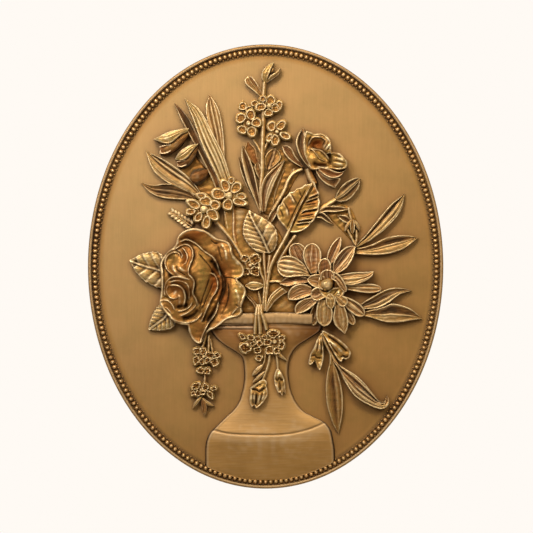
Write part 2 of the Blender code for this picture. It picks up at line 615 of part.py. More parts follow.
def build_middle():
    """The gathered stems over the vase's mouth and the florets hanging before its neck."""
    floret("middle_floret_high", (-11, 5), 8.0, 20, 8.0)
    floret("middle_floret_low", (-10, -5), 7.0, 70, 9.0)
    blade("middle_petal", (-2, -17), (-21, -15), 9.5, (8.0, 9.0, 7.0), form="petal", groove=0.8, cup=0.6)
    blade("reed_left", (-5, -44), (-20, -22), 5.6, (10.0, 9.0, 6.0), bend=3.4, form="leaf", groove=0.8, cup=0.4)
    blade("reed_right", (-1, -42), (21, -22), 6.4, (10.0, 8.0, 5.0), bend=-3.6, form="leaf", groove=0.8, cup=0.4)
    stem("middle_twig", [(1, -14, 7.0), (15, -14, 7.0)], 3.0, 6.6)
    blade("stem_bundle", (-4, -30), (-4, -62), 13.0, (8.0, 12.0, 10.6), form="petal", cup=-1.6, groove=-0.6)
    floret("neck_floret_left", (-14, -67), 10.5, 40, 12.4)
    floret("neck_floret_right", (7, -67), 12.0, 10, 13.4, petals=6)
    floret("neck_floret_low", (-5.5, -73), 7.0, 60, 12.0)
    blade("neck_leaf_right", (9, -74), (19, -84.5), 6.4, (9.6, 9.6, 7.6), form="leaf", cup=0.4, steps=3)
    stem("neck_stalk_left", [(3, -76, 11.0), (1, -88, 10.6), (-4, -103, 10.0)], 3.2, 10.6)
    stem("neck_stalk_right", [(9, -76, 11.0), (10, -86, 10.0), (12, -96, 9.6)], 2.6, 10.0)
    bud("neck_bud_small", (-2, -82), (-10, -97), 8.5, 11.5)
    bud("neck_bud_left", (-1.5, -100), (-11, -127), 14.5, 13.5)
    bud("neck_bud_right", (10.5, -91), (15.5, -114.5), 10.5, 12.4)


def build_low_right_spray():
    """The bells and long leaves that hang from the dahlia."""
    stem("low_stalk", [(49, -54, 5.0), (53, -68, 5.4), (58, -82, 5.0), (60, -90, 4.4)], 4.0, 5.0)
    blade("low_leaf_down", (59, -82), (65.5, -149.5), 15.0, (4.4, 4.6, 1.8), bend=-2.4, groove=1.6, cup=0.6, steps=5)
    blade("low_leaf_curled", (57, -78), (107, -127), 17.0, (5.0, 6.2, 3.4), bend=-3.6, form="leaf", groove=2.0, cup=1.0, steps=6)
    blade("low_leaf_tip", (103, -125.5), (109.5, -115.5), 4.4, (3.6, 4.0, 3.4), bend=-4.0, form="leaf", cup=0.2)
    bell("low_bell_left", (48.5, -60), (44, -90), 13.0, 9.5)
    bell("low_bell_right", (52, -58), (73.5, -83), 14.0, 10.0)


# The keyhole in the back

def arc_outline(radius, run):
    """Outline of a slot with round ends, radius wide each side, run upwards."""
    points = []
    for i in range(9):
        a = math.pi + math.pi * i / 8
        points.append((radius * math.cos(a), radius * math.sin(a)))
    for i in range(9):
        a = math.pi * i / 8
        points.append((radius * math.cos(a), run + radius * math.sin(a)))
    return points


def keyhole_cutter(name, outline, depth_from, depth_to):
    """An upright prism of the outline, between two depths behind the back face."""
    seat = PLAQUE_HEIGHT / 2 - KEYHOLE_FROM_TOP
    rings = [
        [Vector((x, -depth, seat + z)) for x, z in outline]
        for depth in (depth_from, depth_to)
    ]
    return as_helper(loft(name, rings, bpy.context.scene.collection))


def cut_keyhole(casting):
    """The screw's head goes in at the round end, and the slot takes its neck."""
    outside = -0.002
    floor = GROUND_THICKNESS - KEYHOLE_FLOOR
    overlap = 0.0006
    slot_rise = KEYHOLE_SLOT_RUN
    cutters = [
        keyhole_cutter("keyhole_head", arc_outline(KEYHOLE_HEAD_RADIUS, 0.0), outside, floor - overlap),
        keyhole_cutter("keyhole_slot", arc_outline(KEYHOLE_SLOT_WIDTH / 2, slot_rise), outside, KEYHOLE_LIP + overlap),
        keyhole_cutter("keyhole_room", arc_outline(KEYHOLE_HEAD_RADIUS + overlap, slot_rise), KEYHOLE_LIP, floor),
    ]
    for cutter in cutters:
        cut = casting.modifiers.new(cutter.name, "BOOLEAN")
        cut.operation = "DIFFERENCE"
        cut.object = cutter


def build_material():
    """Cast resin with an antique gold finish."""
    finish = bpy.data.materials.new("antique_gold_casting")
    finish.use_nodes = True
    shader = finish.node_tree.nodes["Principled BSDF"]
    shader.inputs["Base Color"].default_value = (0.38, 0.21, 0.07, 1.0)
    shader.inputs["Metallic"].default_value = 0.7
    shader.inputs["Roughness"].default_value = 0.42
    return finish


def main():
    casting = build_ground()
    build_vase()
    build_spike_leaves()
    build_spike()
    build_left_spray()
    build_left_flowers()
    build_peony()
    build_right_leaves()
    build_birch_leaves()
    build_low_right_spray()
    build_dahlia()
    build_rose()
    build_hanging_sprays()
    build_middle()
    union = casting.modifiers.new("relief", "BOOLEAN")
    union.operation = "UNION"
    union.operand_type = "COLLECTION"
    union.collection = relief
    thin = casting.modifiers.new("plain_faces", "DECIMATE")
    thin.ratio = KEPT_FACES
    cut_keyhole(casting)
    casting.data.materials.append(build_material())


main()
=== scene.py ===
# Oval wall plaque with a vase of flowers in relief: the cast form and its antique gold finish.
# Everything is drawn in millimetres on the plaque's face: x to the right and z up from the
# middle of the oval, and height counted outwards from the ground. toWorld turns that to metres.

import math

import bpy
import numpy as np
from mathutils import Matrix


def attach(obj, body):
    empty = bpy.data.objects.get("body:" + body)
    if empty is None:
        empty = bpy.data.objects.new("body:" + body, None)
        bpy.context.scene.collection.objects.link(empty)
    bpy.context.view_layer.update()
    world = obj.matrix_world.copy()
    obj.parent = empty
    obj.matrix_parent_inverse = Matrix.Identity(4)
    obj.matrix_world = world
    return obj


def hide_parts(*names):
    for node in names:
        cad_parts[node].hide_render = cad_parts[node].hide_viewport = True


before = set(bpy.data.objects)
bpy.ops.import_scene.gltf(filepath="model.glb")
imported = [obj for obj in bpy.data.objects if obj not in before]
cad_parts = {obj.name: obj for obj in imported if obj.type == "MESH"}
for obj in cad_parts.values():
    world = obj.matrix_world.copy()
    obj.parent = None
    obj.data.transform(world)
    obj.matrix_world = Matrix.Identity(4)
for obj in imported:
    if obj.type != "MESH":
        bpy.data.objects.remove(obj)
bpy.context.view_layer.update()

plaque = {
    "width": 320.0,  # over the outer edge
    "height": 400.0,
    "ground": 9.0,  # thickness from the flat back to the ground
    "rootDepth": 1.2,  # how far the relief is sunk into the ground
    "tallest": 29.4,  # no carved mass stands higher over the ground
    "wallWashAndShade": 0.8,  # dark wash and painted contact shade on the walls where a form meets what is under it
}


# Arithmetic that the shapes share

def quadratic(values, t):
    # The parabola through three values at t = 0, 0.5 and 1.
    start, middle, end = values
    return start + (end - start) * t + 4 * (middle - (start + end) / 2) * t * (1 - t)


def bump(distance, centre, width):
    # A bell-shaped rise, 1 at the centre: exp(-((distance - centre) / width)^2).
    return np.exp(-(((distance - centre) / width) ** 2))


def ease(value):
    # 0 to 1 with no corner at either end: 3 v^2 - 2 v^3.
    value = np.clip(value, 0.0, 1.0)
    return value * value * (3 - 2 * value)


def edgeFall(distance, radius):
    # A quarter circle: how much a rounded edge has fallen at this distance from the outline.
    share = np.clip(1 - distance / radius, 0.0, 1.0)
    return radius * (1 - np.sqrt(1 - share**2))


handWaves = [  # direction in radians, how much shorter than the size asked for, phase
    (0.3, 1.0, 0.4), (1.9, 1.31, 2.1), (3.4, 0.77, 4.0), (5.0, 1.63, 5.3),
]


def uneven(x, z, size):
    # The unevenness of hand work, about -1 to 1: half the sum of four waves in four directions, of
    # lengths near size, each bent by a slower wave across it.
    total = 0.0
    for turn, stretch, phase in handWaves:
        along = x * math.cos(turn) + z * math.sin(turn)
        across = x * math.sin(turn) - z * math.cos(turn)
        bend = 1.9 * np.sin(2.1 * across / size + phase)
        total = total + np.sin(2 * math.pi * along * stretch / size + phase + bend)
    return total / 2


def curveThrough(a, b, c, d, count=24):
    # The cubic in t from b to c that leaves b with slope (c - a) / 2 and meets c with slope (d - b) / 2.
    t = np.linspace(0, 1, count, endpoint=False)[:, None]
    a, b, c, d = (v[:, None] for v in (a, b, c, d))
    curve = b + 0.5 * (
        (c - a) * t + (2 * a - 5 * b + 4 * c - d) * t**2 + (3 * b - a - 3 * c + d) * t**3
    )
    return curve.reshape(-1, curve.shape[-1])


def evenly(curve, count, closed=False):
    # The same curve at equal steps of its length.
    length = np.concatenate([[0], np.cumsum(np.hypot(*np.diff(curve[:, :2], axis=0).T))])
    at = np.linspace(0, length[-1], count, endpoint=not closed)
    return np.column_stack([np.interp(at, length, column) for column in curve.T])


def inPairs(points):
    # Rows of points, also from a list that gives x and z in turn.
    p = np.asarray(points, float)
    return p.reshape(-1, 2) if p.ndim == 1 else p


def smoothLine(points, count):
    # A smooth line through the points.
    p = inPairs(points)
    p = np.vstack([2 * p[0] - p[1], p, 2 * p[-1] - p[-2]])
    return evenly(np.vstack([curveThrough(p[:-3], p[1:-2], p[2:-1], p[3:]), p[-2]]), count)


def smoothLoop(points, count):
    # A smooth closed line through the points.
    p = inPairs(points)
    curve = curveThrough(np.roll(p, 1, 0), p, np.roll(p, -1, 0), np.roll(p, -2, 0))
    return evenly(np.vstack([curve, curve[0]]), count, closed=True)


def directions(line):
    # Unit vectors along a line of points.
    way = np.gradient(line[:, :2], axis=0)
    return way / np.maximum(np.linalg.norm(way, axis=1, keepdims=True), 1e-9)


def sideOf(line):
    # The unit normal to the left of a line of points, at each of them.
    way = directions(line)
    return np.column_stack([-way[:, 1], way[:, 0]])


def stack(x, z, height, hollow=0.0, crest=0.0, red=0.0):
    # One closed body as rings of points, with its own patina: dark, rubbed and reddish shares. Some of the dark share
    # is painted shade, and some of the rubbed share painted sheen and highlight.
    points = np.stack(np.broadcast_arrays(x, z, height), axis=-1).astype(float)
    wearAndPaintedLight = [np.broadcast_to(np.clip(share, 0, 1), points.shape[:-1]) for share in (hollow, crest, red)]
    return {"points": points, "wearAndPaintedLight": np.stack(wearAndPaintedLight, axis=-1).astype(float)}


def rooted(height, wall):
    # The height itself where wall is 0, and the root under the ground where it is 1.
    return height - wall * (height + plaque["rootDepth"])


def swelling(x, z, swells):
    # The sum of amount exp(-((x - sx) / a)^2 - ((z - sz) / b)^2) over swells of sx, sz, a, b and amount.
    total = 0 * x
    for sx, sz, a, b, amount in swells:
        total = total + amount * np.exp(-(((x - sx) / a) ** 2) - ((z - sz) / b) ** 2)
    return total


# Leaves and petals

# Sections across a leaf: place from the left outline at -1 to the right one at 1, and height in mm, in turn
vShape = [-1, 0.7, -0.5, -0.5, 0, -1.7, 0.5, -0.4, 1, 0.7]
dished = [-1, 0.9, -0.5, -0.5, 0, -0.9, 0.5, -0.5, 1, 0.9]
domed = [-1, -1.6, -0.5, -0.3, 0, 0.3, 0.5, -0.3, 1, -1.6]


leafFace = {
    "rimAt": 0.8,  # mm from the outline to the rolled rim
    "rimHalf": 0.6,  # mm, half the rim's width
    "edge": 0.7,  # mm, radius of the rounded edge
    "fullHalf": 3.0,  # mm, half-width of a leaf from which rim and edge have their full size
    "castHigh": 0.14,  # mm, the slow unevenness of a hand-made face
    "castLong": 5.5,
    "finePitch": 1.45,  # mm between the finest lines along a leaf
    "veinLean": 0.75,  # mm that a side vein climbs for each mm outwards
    "lowest": 1.6,  # mm under the middle of the section at which the wash is full
}
leafDark = {"valley": 0.5, "low": 0.6, "fine": 2.2, "line": 0.32, "vein": 0.95, "midrib": 0.6}  # shares of wash
leafRubbed = {"ridge": 0.42, "fine": 2.0, "line": 0.42, "vein": 0.55, "midrib": 0.9}  # shares of pale gold


def leaf(
    left, right, heights, section=vShape, rims=(0.5, 0.5), lines=0, lineDepth=0.2, teeth=0.0, toothPitch=4.0,
    veins=0.0, veinPitch=(6.0, 6.0), midrib=0.0, red=0.3, dark=0.0, crest=1.0, fine=0.07, along=48, across=33,
):
    # Grid of t from base to tip and s from the left outline to the right one: the point is
    # middle(t) + s reach(t), with middle and reach half the sum and half the difference of the outlines.
    # Height is the parabola of heights, plus the section across, plus a rolled rim at a fixed distance
    # from the outline, with fine lines along it or slanting veins, and a rounded edge.
    t = (1 - np.cos(np.linspace(0, math.pi, along))) / 2
    steps = np.linspace(0, 1, 240)
    outlines = [smoothLine(line, len(steps)) for line in (left, right)]
    edges = [np.column_stack([np.interp(t, steps, column) for column in line.T]) for line in outlines]
    middle, reach = (edges[0] + edges[1]) / 2, (edges[1] - edges[0]) / 2
    width = np.hypot(*reach.T)
    outward = np.where(width[:, None] > 0.2, reach / np.maximum(width[:, None], 0.2), -sideOf(middle))
    far = np.concatenate([[0], np.cumsum(np.hypot(*np.diff(middle, axis=0).T))])
    lean = [np.abs(outward[:, 0] * way[:, 1] - outward[:, 1] * way[:, 0]) for way in map(directions, edges)]
    seed = middle[along // 2].sum()
    half = np.maximum(width, 0.3)
    share = half / half.max()
    if teeth:
        half = half + teeth * (1 - (far / toothPitch) % 1.0) * share
    far, half, share = far[:, None], half[:, None], share[:, None]
    inner = np.sin(np.linspace(-math.pi / 2, math.pi / 2, across))
    s = np.concatenate([[-1.0, -1.0], inner, [1.0, 1.0]])[None, :]
    beyond = np.concatenate([[-0.12, -0.08], np.zeros(across), [0.08, 0.12]])[None, :]
    wall = np.concatenate([[1.0, 0.45], np.zeros(across), [0.45, 1.0]])[None, :]
    x = middle[:, :1] + outward[:, :1] * (half * s + beyond)
    z = middle[:, 1:] + outward[:, 1:] * (half * s + beyond)
    lateral = half * np.abs(s)
    distance = np.where(s < 0, lean[0][:, None], lean[1][:, None]) * half * (1 - np.abs(s))
    distance = np.minimum(distance, far[-1] - far + 0.05)
    fit = np.minimum(1.0, half / leafFace["fullHalf"])

    # the face, its rim and its edge
    profile = smoothLine(section, 120)
    curl = np.gradient(np.gradient(profile[:, 1], profile[:, 0]), profile[:, 0])
    ridge = np.interp(s, profile[:, 0], np.tanh(-curl / 40)) * share
    carvedHeight = share**0.7 * np.interp(s, profile[:, 0], profile[:, 1])
    low = np.clip(-carvedHeight / leafFace["lowest"], 0, 1)
    rolled = bump(distance, leafFace["rimAt"] * fit, leafFace["rimHalf"] * fit)
    height = quadratic(heights, t)[:, None] + carvedHeight
    height = height + np.where(s < 0, rims[0], rims[1]) * fit * rolled
    height = height - edgeFall(distance, leafFace["edge"] * fit)
    height = height + leafFace["castHigh"] * fit * uneven(x, z, leafFace["castLong"]) * ease(distance)
    bend = 1.2 * np.sin(far / 5.0 + seed) + 1.5 * uneven(x, z, 14.0)
    striae = np.sin(2 * math.pi * half * s / leafFace["finePitch"] + bend)
    height = height + fine * striae * ease(distance / 1.5) * ease(half / 2.5)

    # its patina
    hollow = dark + leafDark["valley"] * np.clip(-ridge, 0, 1) + leafDark["low"] * low
    hollow = hollow + leafDark["fine"] * fine * np.clip(-striae, 0, 1)
    red = 0.7 * red + 0.6 * low
    wornRim = np.clip(0.75 + 0.35 * uneven(x, z, 9.0) + 0.3 * uneven(z, x, 2.6), 0, 1)
    wornRim = wornRim * np.where(s < 0, rims[0] > 0, rims[1] > 0) * share**0.3
    lit = leafRubbed["ridge"] * np.clip(ridge, 0, 1) + leafRubbed["fine"] * fine * np.clip(striae, 0, 1)
    lit = crest * (lit + wornRim * bump(distance, 0.9 * leafFace["rimAt"] * fit, 0.44 * fit))
    if lines:
        wander = 1.6 * np.sin(2.6 * t[:, None] + seed) + 0.5 * np.sin(7 * t[:, None] + 5 * s)
        wave = 0.65 * np.cos(2 * math.pi * lines * s + wander)
        wave = wave + 0.35 * np.cos(2 * math.pi * lines * 1.73 * s + 1.7 * wander + seed)
        height = height + lineDepth * wave * share * ease(distance / 1.2)
        hollow = hollow + leafDark["line"] * np.clip(-wave, 0, 1) * share
        lit = lit + leafRubbed["line"] * np.clip(wave, 0, 1) ** 2 * share * crest
    if veins:
        pitch = np.where(s < 0, veinPitch[0], veinPitch[1])
        climb = far - lateral * leafFace["veinLean"] + 0.35 * np.sin(lateral * 0.6 + seed)
        q = climb / pitch + 0.2 * np.sign(s)
        pillow = np.abs(np.sin(math.pi * q)) ** 0.3
        slope = (q % 1.0 - 0.5) * 0.55
        height = height + veins * (pillow - 0.85 + slope) * ease(lateral / 1.5) * ease(distance / 1.6)
        hollow = hollow + leafDark["vein"] * (1 - pillow) * ease(lateral / 1.2) + 0.25 * bump(q % 1.0, 0.12, 0.14)
        lit = lit + leafRubbed["vein"] * bump(q % 1.0, 0.86, 0.09) * ease(lateral / 2) * crest
    if midrib:
        height = height + midrib * (bump(lateral, 0, 0.8) - 0.6 * bump(lateral, 1.7, 0.6)) * share**0.4
        hollow = hollow + leafDark["midrib"] * bump(lateral, 1.7, 0.7)
        lit = lit + leafRubbed["midrib"] * bump(lateral, 0, 0.6) * crest
    hollow = hollow + plaque["wallWashAndShade"] * (wall > 0)
    return stack(x, z, rooted(height, wall), hollow, lit * (1 - wall), red)


forms = {  # half-width is t^rise (1 - t^shoulder)^fall, from base to tip
    "leaf": (0.55, 1.7, 0.70),
    "petal": (0.60, 3.2, 0.50),
}


def blade(base, tip, width, heights, bend=0.0, form="leaf", **rest):
    # A leaf whose outlines stand width / 2 form(t) either side of a parabola from base to tip.
    rise, shoulder, fall = forms[form]
    t = (1 - np.cos(np.linspace(0, math.pi, 25))) / 2
    share = t**rise * (1 - t**shoulder) ** fall
    base, tip = np.asarray(base, float), np.asarray(tip, float)
    run = tip - base
    aside = np.array([-run[1], run[0]]) / np.hypot(*run)
    middle = base + run * t[:, None] + aside * (bend * 4 * t * (1 - t))[:, None]
    offset = sideOf(middle) * (width / 2 * share / share.max())[:, None]
    return leaf(middle + offset, middle - offset, heights, **rest)


stemFace = {
    "reach": 84,  # degrees from the top of the ridge to where its wall begins
    "rough": 0.08,  # how much it swells and shrinks along its length
    "ribs": 5, "ribHigh": 0.06,  # faint ribs along it, in widths
}


def stem(points, width, height=None, taper=1.0, red=0.25, dark=0.0):
    # A half-round ridge along a smooth line: across it the angle a runs over the top, the point is
    # middle + side (width / 2) sin(a), and the height is crest - (width / 2)(1 - cos(a)), with ribs.
    # The points give x and z in turn, and the height too where none is given for the whole.
    full = np.reshape(points, (-1, 3 if height is None else 2)).astype(float)
    if height is not None:
        full = np.column_stack([full, np.full(len(full), height)])
    line = smoothLine(full, max(20, 14 * len(full)))
    side = sideOf(line)
    t = np.linspace(0, 1, len(line))[:, None]
    rough = stemFace["rough"] * uneven(line[:, :1], line[:, 1:2], 6.0)
    half = width / 2 * (1 + (taper - 1) * t) * (1 + rough)
    a = np.radians(np.linspace(-stemFace["reach"], stemFace["reach"], 11))[None, :]
    across = np.concatenate([[[-1.06]], np.sin(a), [[1.06]]], axis=1)
    wall = np.concatenate([[[1.0]], 0 * a, [[1.0]]], axis=1)
    a = np.concatenate([a[:, :1], a, a[:, -1:]], axis=1)
    ribs = stemFace["ribHigh"] * width * np.cos(stemFace["ribs"] * a + 2 * t)
    high = rooted(line[:, 2:] + rough - half * (1 - np.cos(a)) * 1.1 + ribs, wall)
    lit = 0.6 * bump(np.degrees(a), -20, 26) * (1 - wall)
    hollow = dark + 0.5 * (1 - np.cos(a)) + 0.6 * wall
    x, z = (line[:, i : i + 1] + side[:, i : i + 1] * half * across for i in (0, 1))
    return stack(x, z, high, hollow, lit, red)


# Round forms

def cup(
    x, z, wide, high, turn=0.0, height=6.0, dish=1.2, rim=0.5, roll=0.55, red=0.55, dark=0.24, crest=1.1,
    around=30, rings=13, crumple=0.0,
):
    # A round petal hollowed like a spoon, on rings of share r of an ellipse: height falls from the rolled
    # rim by dish, as ease(distance from the rim). A negative dish makes a button. Crumple waves its edge by
    # sin(4 a) and sin(7 a) and creases its face. The wash lies in the bowl, the pale gold on the rim.
    a = np.linspace(0, 2 * math.pi, around, endpoint=False)[None, :]
    turned = math.radians(turn)
    r = np.concatenate([[1.0, 1.0], 1 - (1 - np.linspace(1, 0.03, rings)) ** 1.25])[:, None]
    wall = np.concatenate([[1.0, 0.45], np.zeros(rings)])[:, None]
    wobble = 1 + 0.05 * np.sin(3 * a + x) + 0.04 * np.sin(2 * a + z)
    wobble = wobble + crumple * (0.10 * np.sin(4 * a + 3 * x) + 0.07 * np.sin(7 * a + 5 * z))
    ex, ez = (wide * r + 0.1 * wall) * np.cos(a) * wobble, (high * r + 0.1 * wall) * np.sin(a) * wobble
    px = x + ex * math.cos(turned) - ez * math.sin(turned)
    pz = z + ex * math.sin(turned) + ez * math.cos(turned)
    size = min(wide, high)
    distance = (1 - r) * size + 0 * a
    roll = min(roll, size * 0.3)
    rolled = bump(distance, roll, roll * 0.85)
    up = height + rim * rolled - dish * ease(distance / (size * 0.6)) - edgeFall(distance, roll)
    creases = 0.9 * uneven(px, pz, 3.2) + 0.5 * uneven(pz, px, 1.7)
    up = up + 0.12 * uneven(px, pz, 4.0) + crumple * creases * ease(distance)
    button = (dish < 0) * ease(1.4 * (1 - r))
    worn = np.clip(0.75 + (0.3 + 0.7 * crumple) * uneven(px, pz, 6.0 - 3.5 * crumple), 0, 1.2)
    lit = crest * np.maximum(rolled, button) * worn * (1 - wall)
    bowl = (dish > 0) * ease(distance / size * 1.6) * (1 + 1.2 * uneven(px, pz, 2.2))
    hollow = dark * bowl + plaque["wallWashAndShade"] * (wall > 0)
    warm = red * ease(distance / (size * 0.35)) * (0.75 + 0.45 * uneven(pz, px, 3.0))
    return stack(px, pz, rooted(up, wall), hollow, lit, warm)


strokeKinds = {
    # height and half-width of the ridge, drop on its right and the drop's reach, dip on its left and
    # the dip's reach, all in mm
    "rim": (1.2, 0.72, 4.4, 4.0, 2.4, 4.5),
    "lip": (0.9, 0.58, 2.1, 2.2, 1.2, 2.4),
    "fold": (0.8, 1.2, 0.0, 1.0, 0.0, 1.0),
    "crease": (-0.8, 0.6, 0.0, 1.0, 0.0, 1.0),
    "slit": (-1.8, 0.9, 0.0, 1.0, 0.0, 1.0),
    "gap": (-3.4, 1.7, 0.0, 1.0, 0.0, 1.0),
}


def carve(x, z, strokes):
    # What drawn strokes of each kind do to a surface: with d the distance to the stroke, the height changes by
    # ridge exp(-(d / width)^2), less drop exp(-d / reach) on its right and dip exp(-d / reach) on its left.
    # Ridges are rubbed, what is cut in keeps the wash, and what drops or dips beside them is darkened as painted shade.
    change, lit, hollow = np.zeros(x.shape), np.zeros(x.shape), np.zeros(x.shape)
    for kind, points in ((kind, points) for kind, drawn in strokes.items() for points in drawn):
        ridge, wide, drop, dropReach, dip, dipReach = strokeKinds[kind]
        length = np.hypot(*np.diff(smoothLine(points, 200), axis=0).T).sum()
        line = smoothLine(points, max(8, int(length / 0.5)))
        reach = 2.6 * max(dropReach, dipReach, wide)
        low, up = line.min(axis=0) - reach, line.max(axis=0) + reach
        near = (x > low[0]) & (x < up[0]) & (z > low[1]) & (z < up[1])
        dx, dz = x[near][:, None] - line[:, 0], z[near][:, None] - line[:, 1]
        which = np.argmin(dx**2 + dz**2, axis=1)
        at = np.arange(len(which))
        dx, dz = dx[at, which], dz[at, which]
        way = directions(line)[which]
        ahead, aside = dx * way[:, 0] + dz * way[:, 1], way[:, 0] * dz - way[:, 1] * dx
        d = np.hypot(dx, dz)
        fade = ease(np.minimum(which, len(line) - 1 - which) / 6.0 + 0.15) * bump(ahead, 0, 1.5)
        right = ease(0.5 - aside / 0.8)
        dropped = right * drop * np.exp(-d / dropReach) * (1 - bump(d, 0, 0.8))
        dipped = (1 - right) * dip * np.exp(-d / dipReach) * (1 - bump(d, 0, 1.2))
        change[near] += fade * (ridge * bump(d, 0, wide) - dropped - dipped)
        lit[near] += (ridge > 0) * fade * bump(d, 0, wide * 0.75)
        dropShade = right * 0.2 * drop * np.exp(-d / 2.4) * ease((d - 0.3) / 0.5)
        dipShade = (1 - right) * 0.12 * dip * np.exp(-d / 2.0) * ease((d - 0.4) / 0.5)
        hollow[near] += fade * (dropShade + dipShade + (ridge < 0) * 0.9 * bump(d, 0, wide))
    return change, lit, hollow


def carved(
    outline, centre, level, swells, strokes, roll=1.2, lip=0.9, red=0.4, redAt=(), shadeAt=(), around=420,
    rings=130,
):
    # A mass drawn by its outline: rings of share r of the outline's distance from the centre. Height is
    # level plus its swells, plus what the strokes carve, with a rolled rim. The red patina and the painted
    # shade have swells of the same kind, and the painted shade spares the rubbed ridges.
    edge = smoothLoop(outline, around) - centre
    out = np.linalg.norm(edge, axis=1)
    way = directions(np.vstack([edge[-1:], edge, edge[:1]]))[1:-1]
    lean = np.abs(edge[:, 0] * way[:, 1] - edge[:, 1] * way[:, 0]) / out
    r = np.concatenate([[1.0, 1.0], 1 - 0.985 * np.linspace(0, 1, rings) ** 1.12])[:, None]
    wall = np.concatenate([[1.0, 0.45], np.zeros(rings)])[:, None]
    x, z = (centre[i] + edge[None, :, i] * (r + 0.003 * wall) for i in (0, 1))
    distance = (1 - r) * (out * lean)[None, :]
    change, lit, hollow = carve(x, z, strokes)
    rolled = bump(distance, roll * 0.9, roll * 0.7)
    height = level + swelling(x, z, swells) + change + lip * rolled - edgeFall(distance, roll)
    height = height + 0.22 * uneven(x, z, 8.0) * ease(distance / 2)
    height = rooted(np.minimum(height, plaque["tallest"]), wall)
    hollow = hollow + swelling(x, z, shadeAt) * (1 - 0.8 * np.clip(lit, 0, 1))
    hollow = hollow + plaque["wallWashAndShade"] * (wall > 0)
    worn = np.clip(0.62 + 0.75 * uneven(x, z, 11.0), 0.15, 1.1)
    lit = np.maximum(lit, rolled * (lip > 0)) * worn * (1 - wall)
    return stack(x, z, height, hollow, lit, red + swelling(x, z, redAt))


# The ground and its rim: one profile carried round the oval

rimProfile = {
    "stations": 480,
    # distance in from the edge, height over the ground, dark share, rubbed share
    "section": [
        (0.0, -8.6, 0.3, 0.0), (0.0, 1.0, 0.6, 0.0), (0.15, 2.0, 0.5, 0.0), (0.55, 2.9, 0.2, 0.1),
        (1.2, 3.35, 0.1, 0.1), (2.0, 3.4, 0.05, 0.45), (2.7, 3.0, 0.25, 0.3), (3.1, 2.2, 0.5, 0.0),
        (3.5, 1.3, 0.8, 0.0), (4.2, 1.0, 0.7, 0.0), (6.0, 0.9, 0.65, 0.0), (7.8, 0.7, 0.65, 0.0),
        (8.8, 0.2, 0.6, 0.0), (9.8, 0.0, 0.4, 0.0), (10.8, 0.0, 0.18, 0.0), (12.0, 0.0, 0.0, 0.0),
    ],
    "groundRings": 58,
    "backInset": 0.4,  # of the flat back from the outer edge
    "backShares": [0.03, 0.1, 0.25, 0.5, 0.8, 1.0],  # rings on the back, from the keyhole to the edge
    "groundWave": (0.06, 60.0),  # height and length of the ground's unevenness
    "rimWave": (0.12, 16.0),
    "groundPaintedSheen": 0.15,  # painted sheen at the top left, given as a share of the rubbed colour
    "groundPaintedShade": 0.10,  # painted shade at the lower right, given as a share of the wash colour
}

keyhole = {  # in the back, for a wall screw
    "seat": 148.0,  # height of the round opening's middle
    "headRadius": 5.2,
    "slotHalf": 2.5,
    "run": 12.0,  # how far the slot goes up from the seat
    "undercut": 0.6,
    # share of the room's outline, share of the mouth's outline, depth from the back
    "rings": [(0.05, 0, 6.6), (0.97, 0, 6.6), (1, 0, 6.4), (1, 0, 2.4), (0, 1, 2.4), (0, 1, 0.2), (0, 1.04, 0)],
}


def roundSlot(radius, run, a):
    # Distance from the seat, at the angle a, to the outline of a slot with round ends: the farthest of the
    # circle at the seat, radius / |cos(a)| along the sides, and the circle at the end of the run.
    up, across = np.sin(a), np.maximum(np.abs(np.cos(a)), 1e-6)
    inside = (run * up) ** 2 - run**2 + radius**2
    end = np.where(inside > 0, run * up + np.sqrt(np.maximum(inside, 0)), 0)
    side = np.where(up > 0, np.minimum(radius / across, run / np.maximum(up, 1e-6)), 0)
    return np.maximum(np.maximum(side, end), radius)


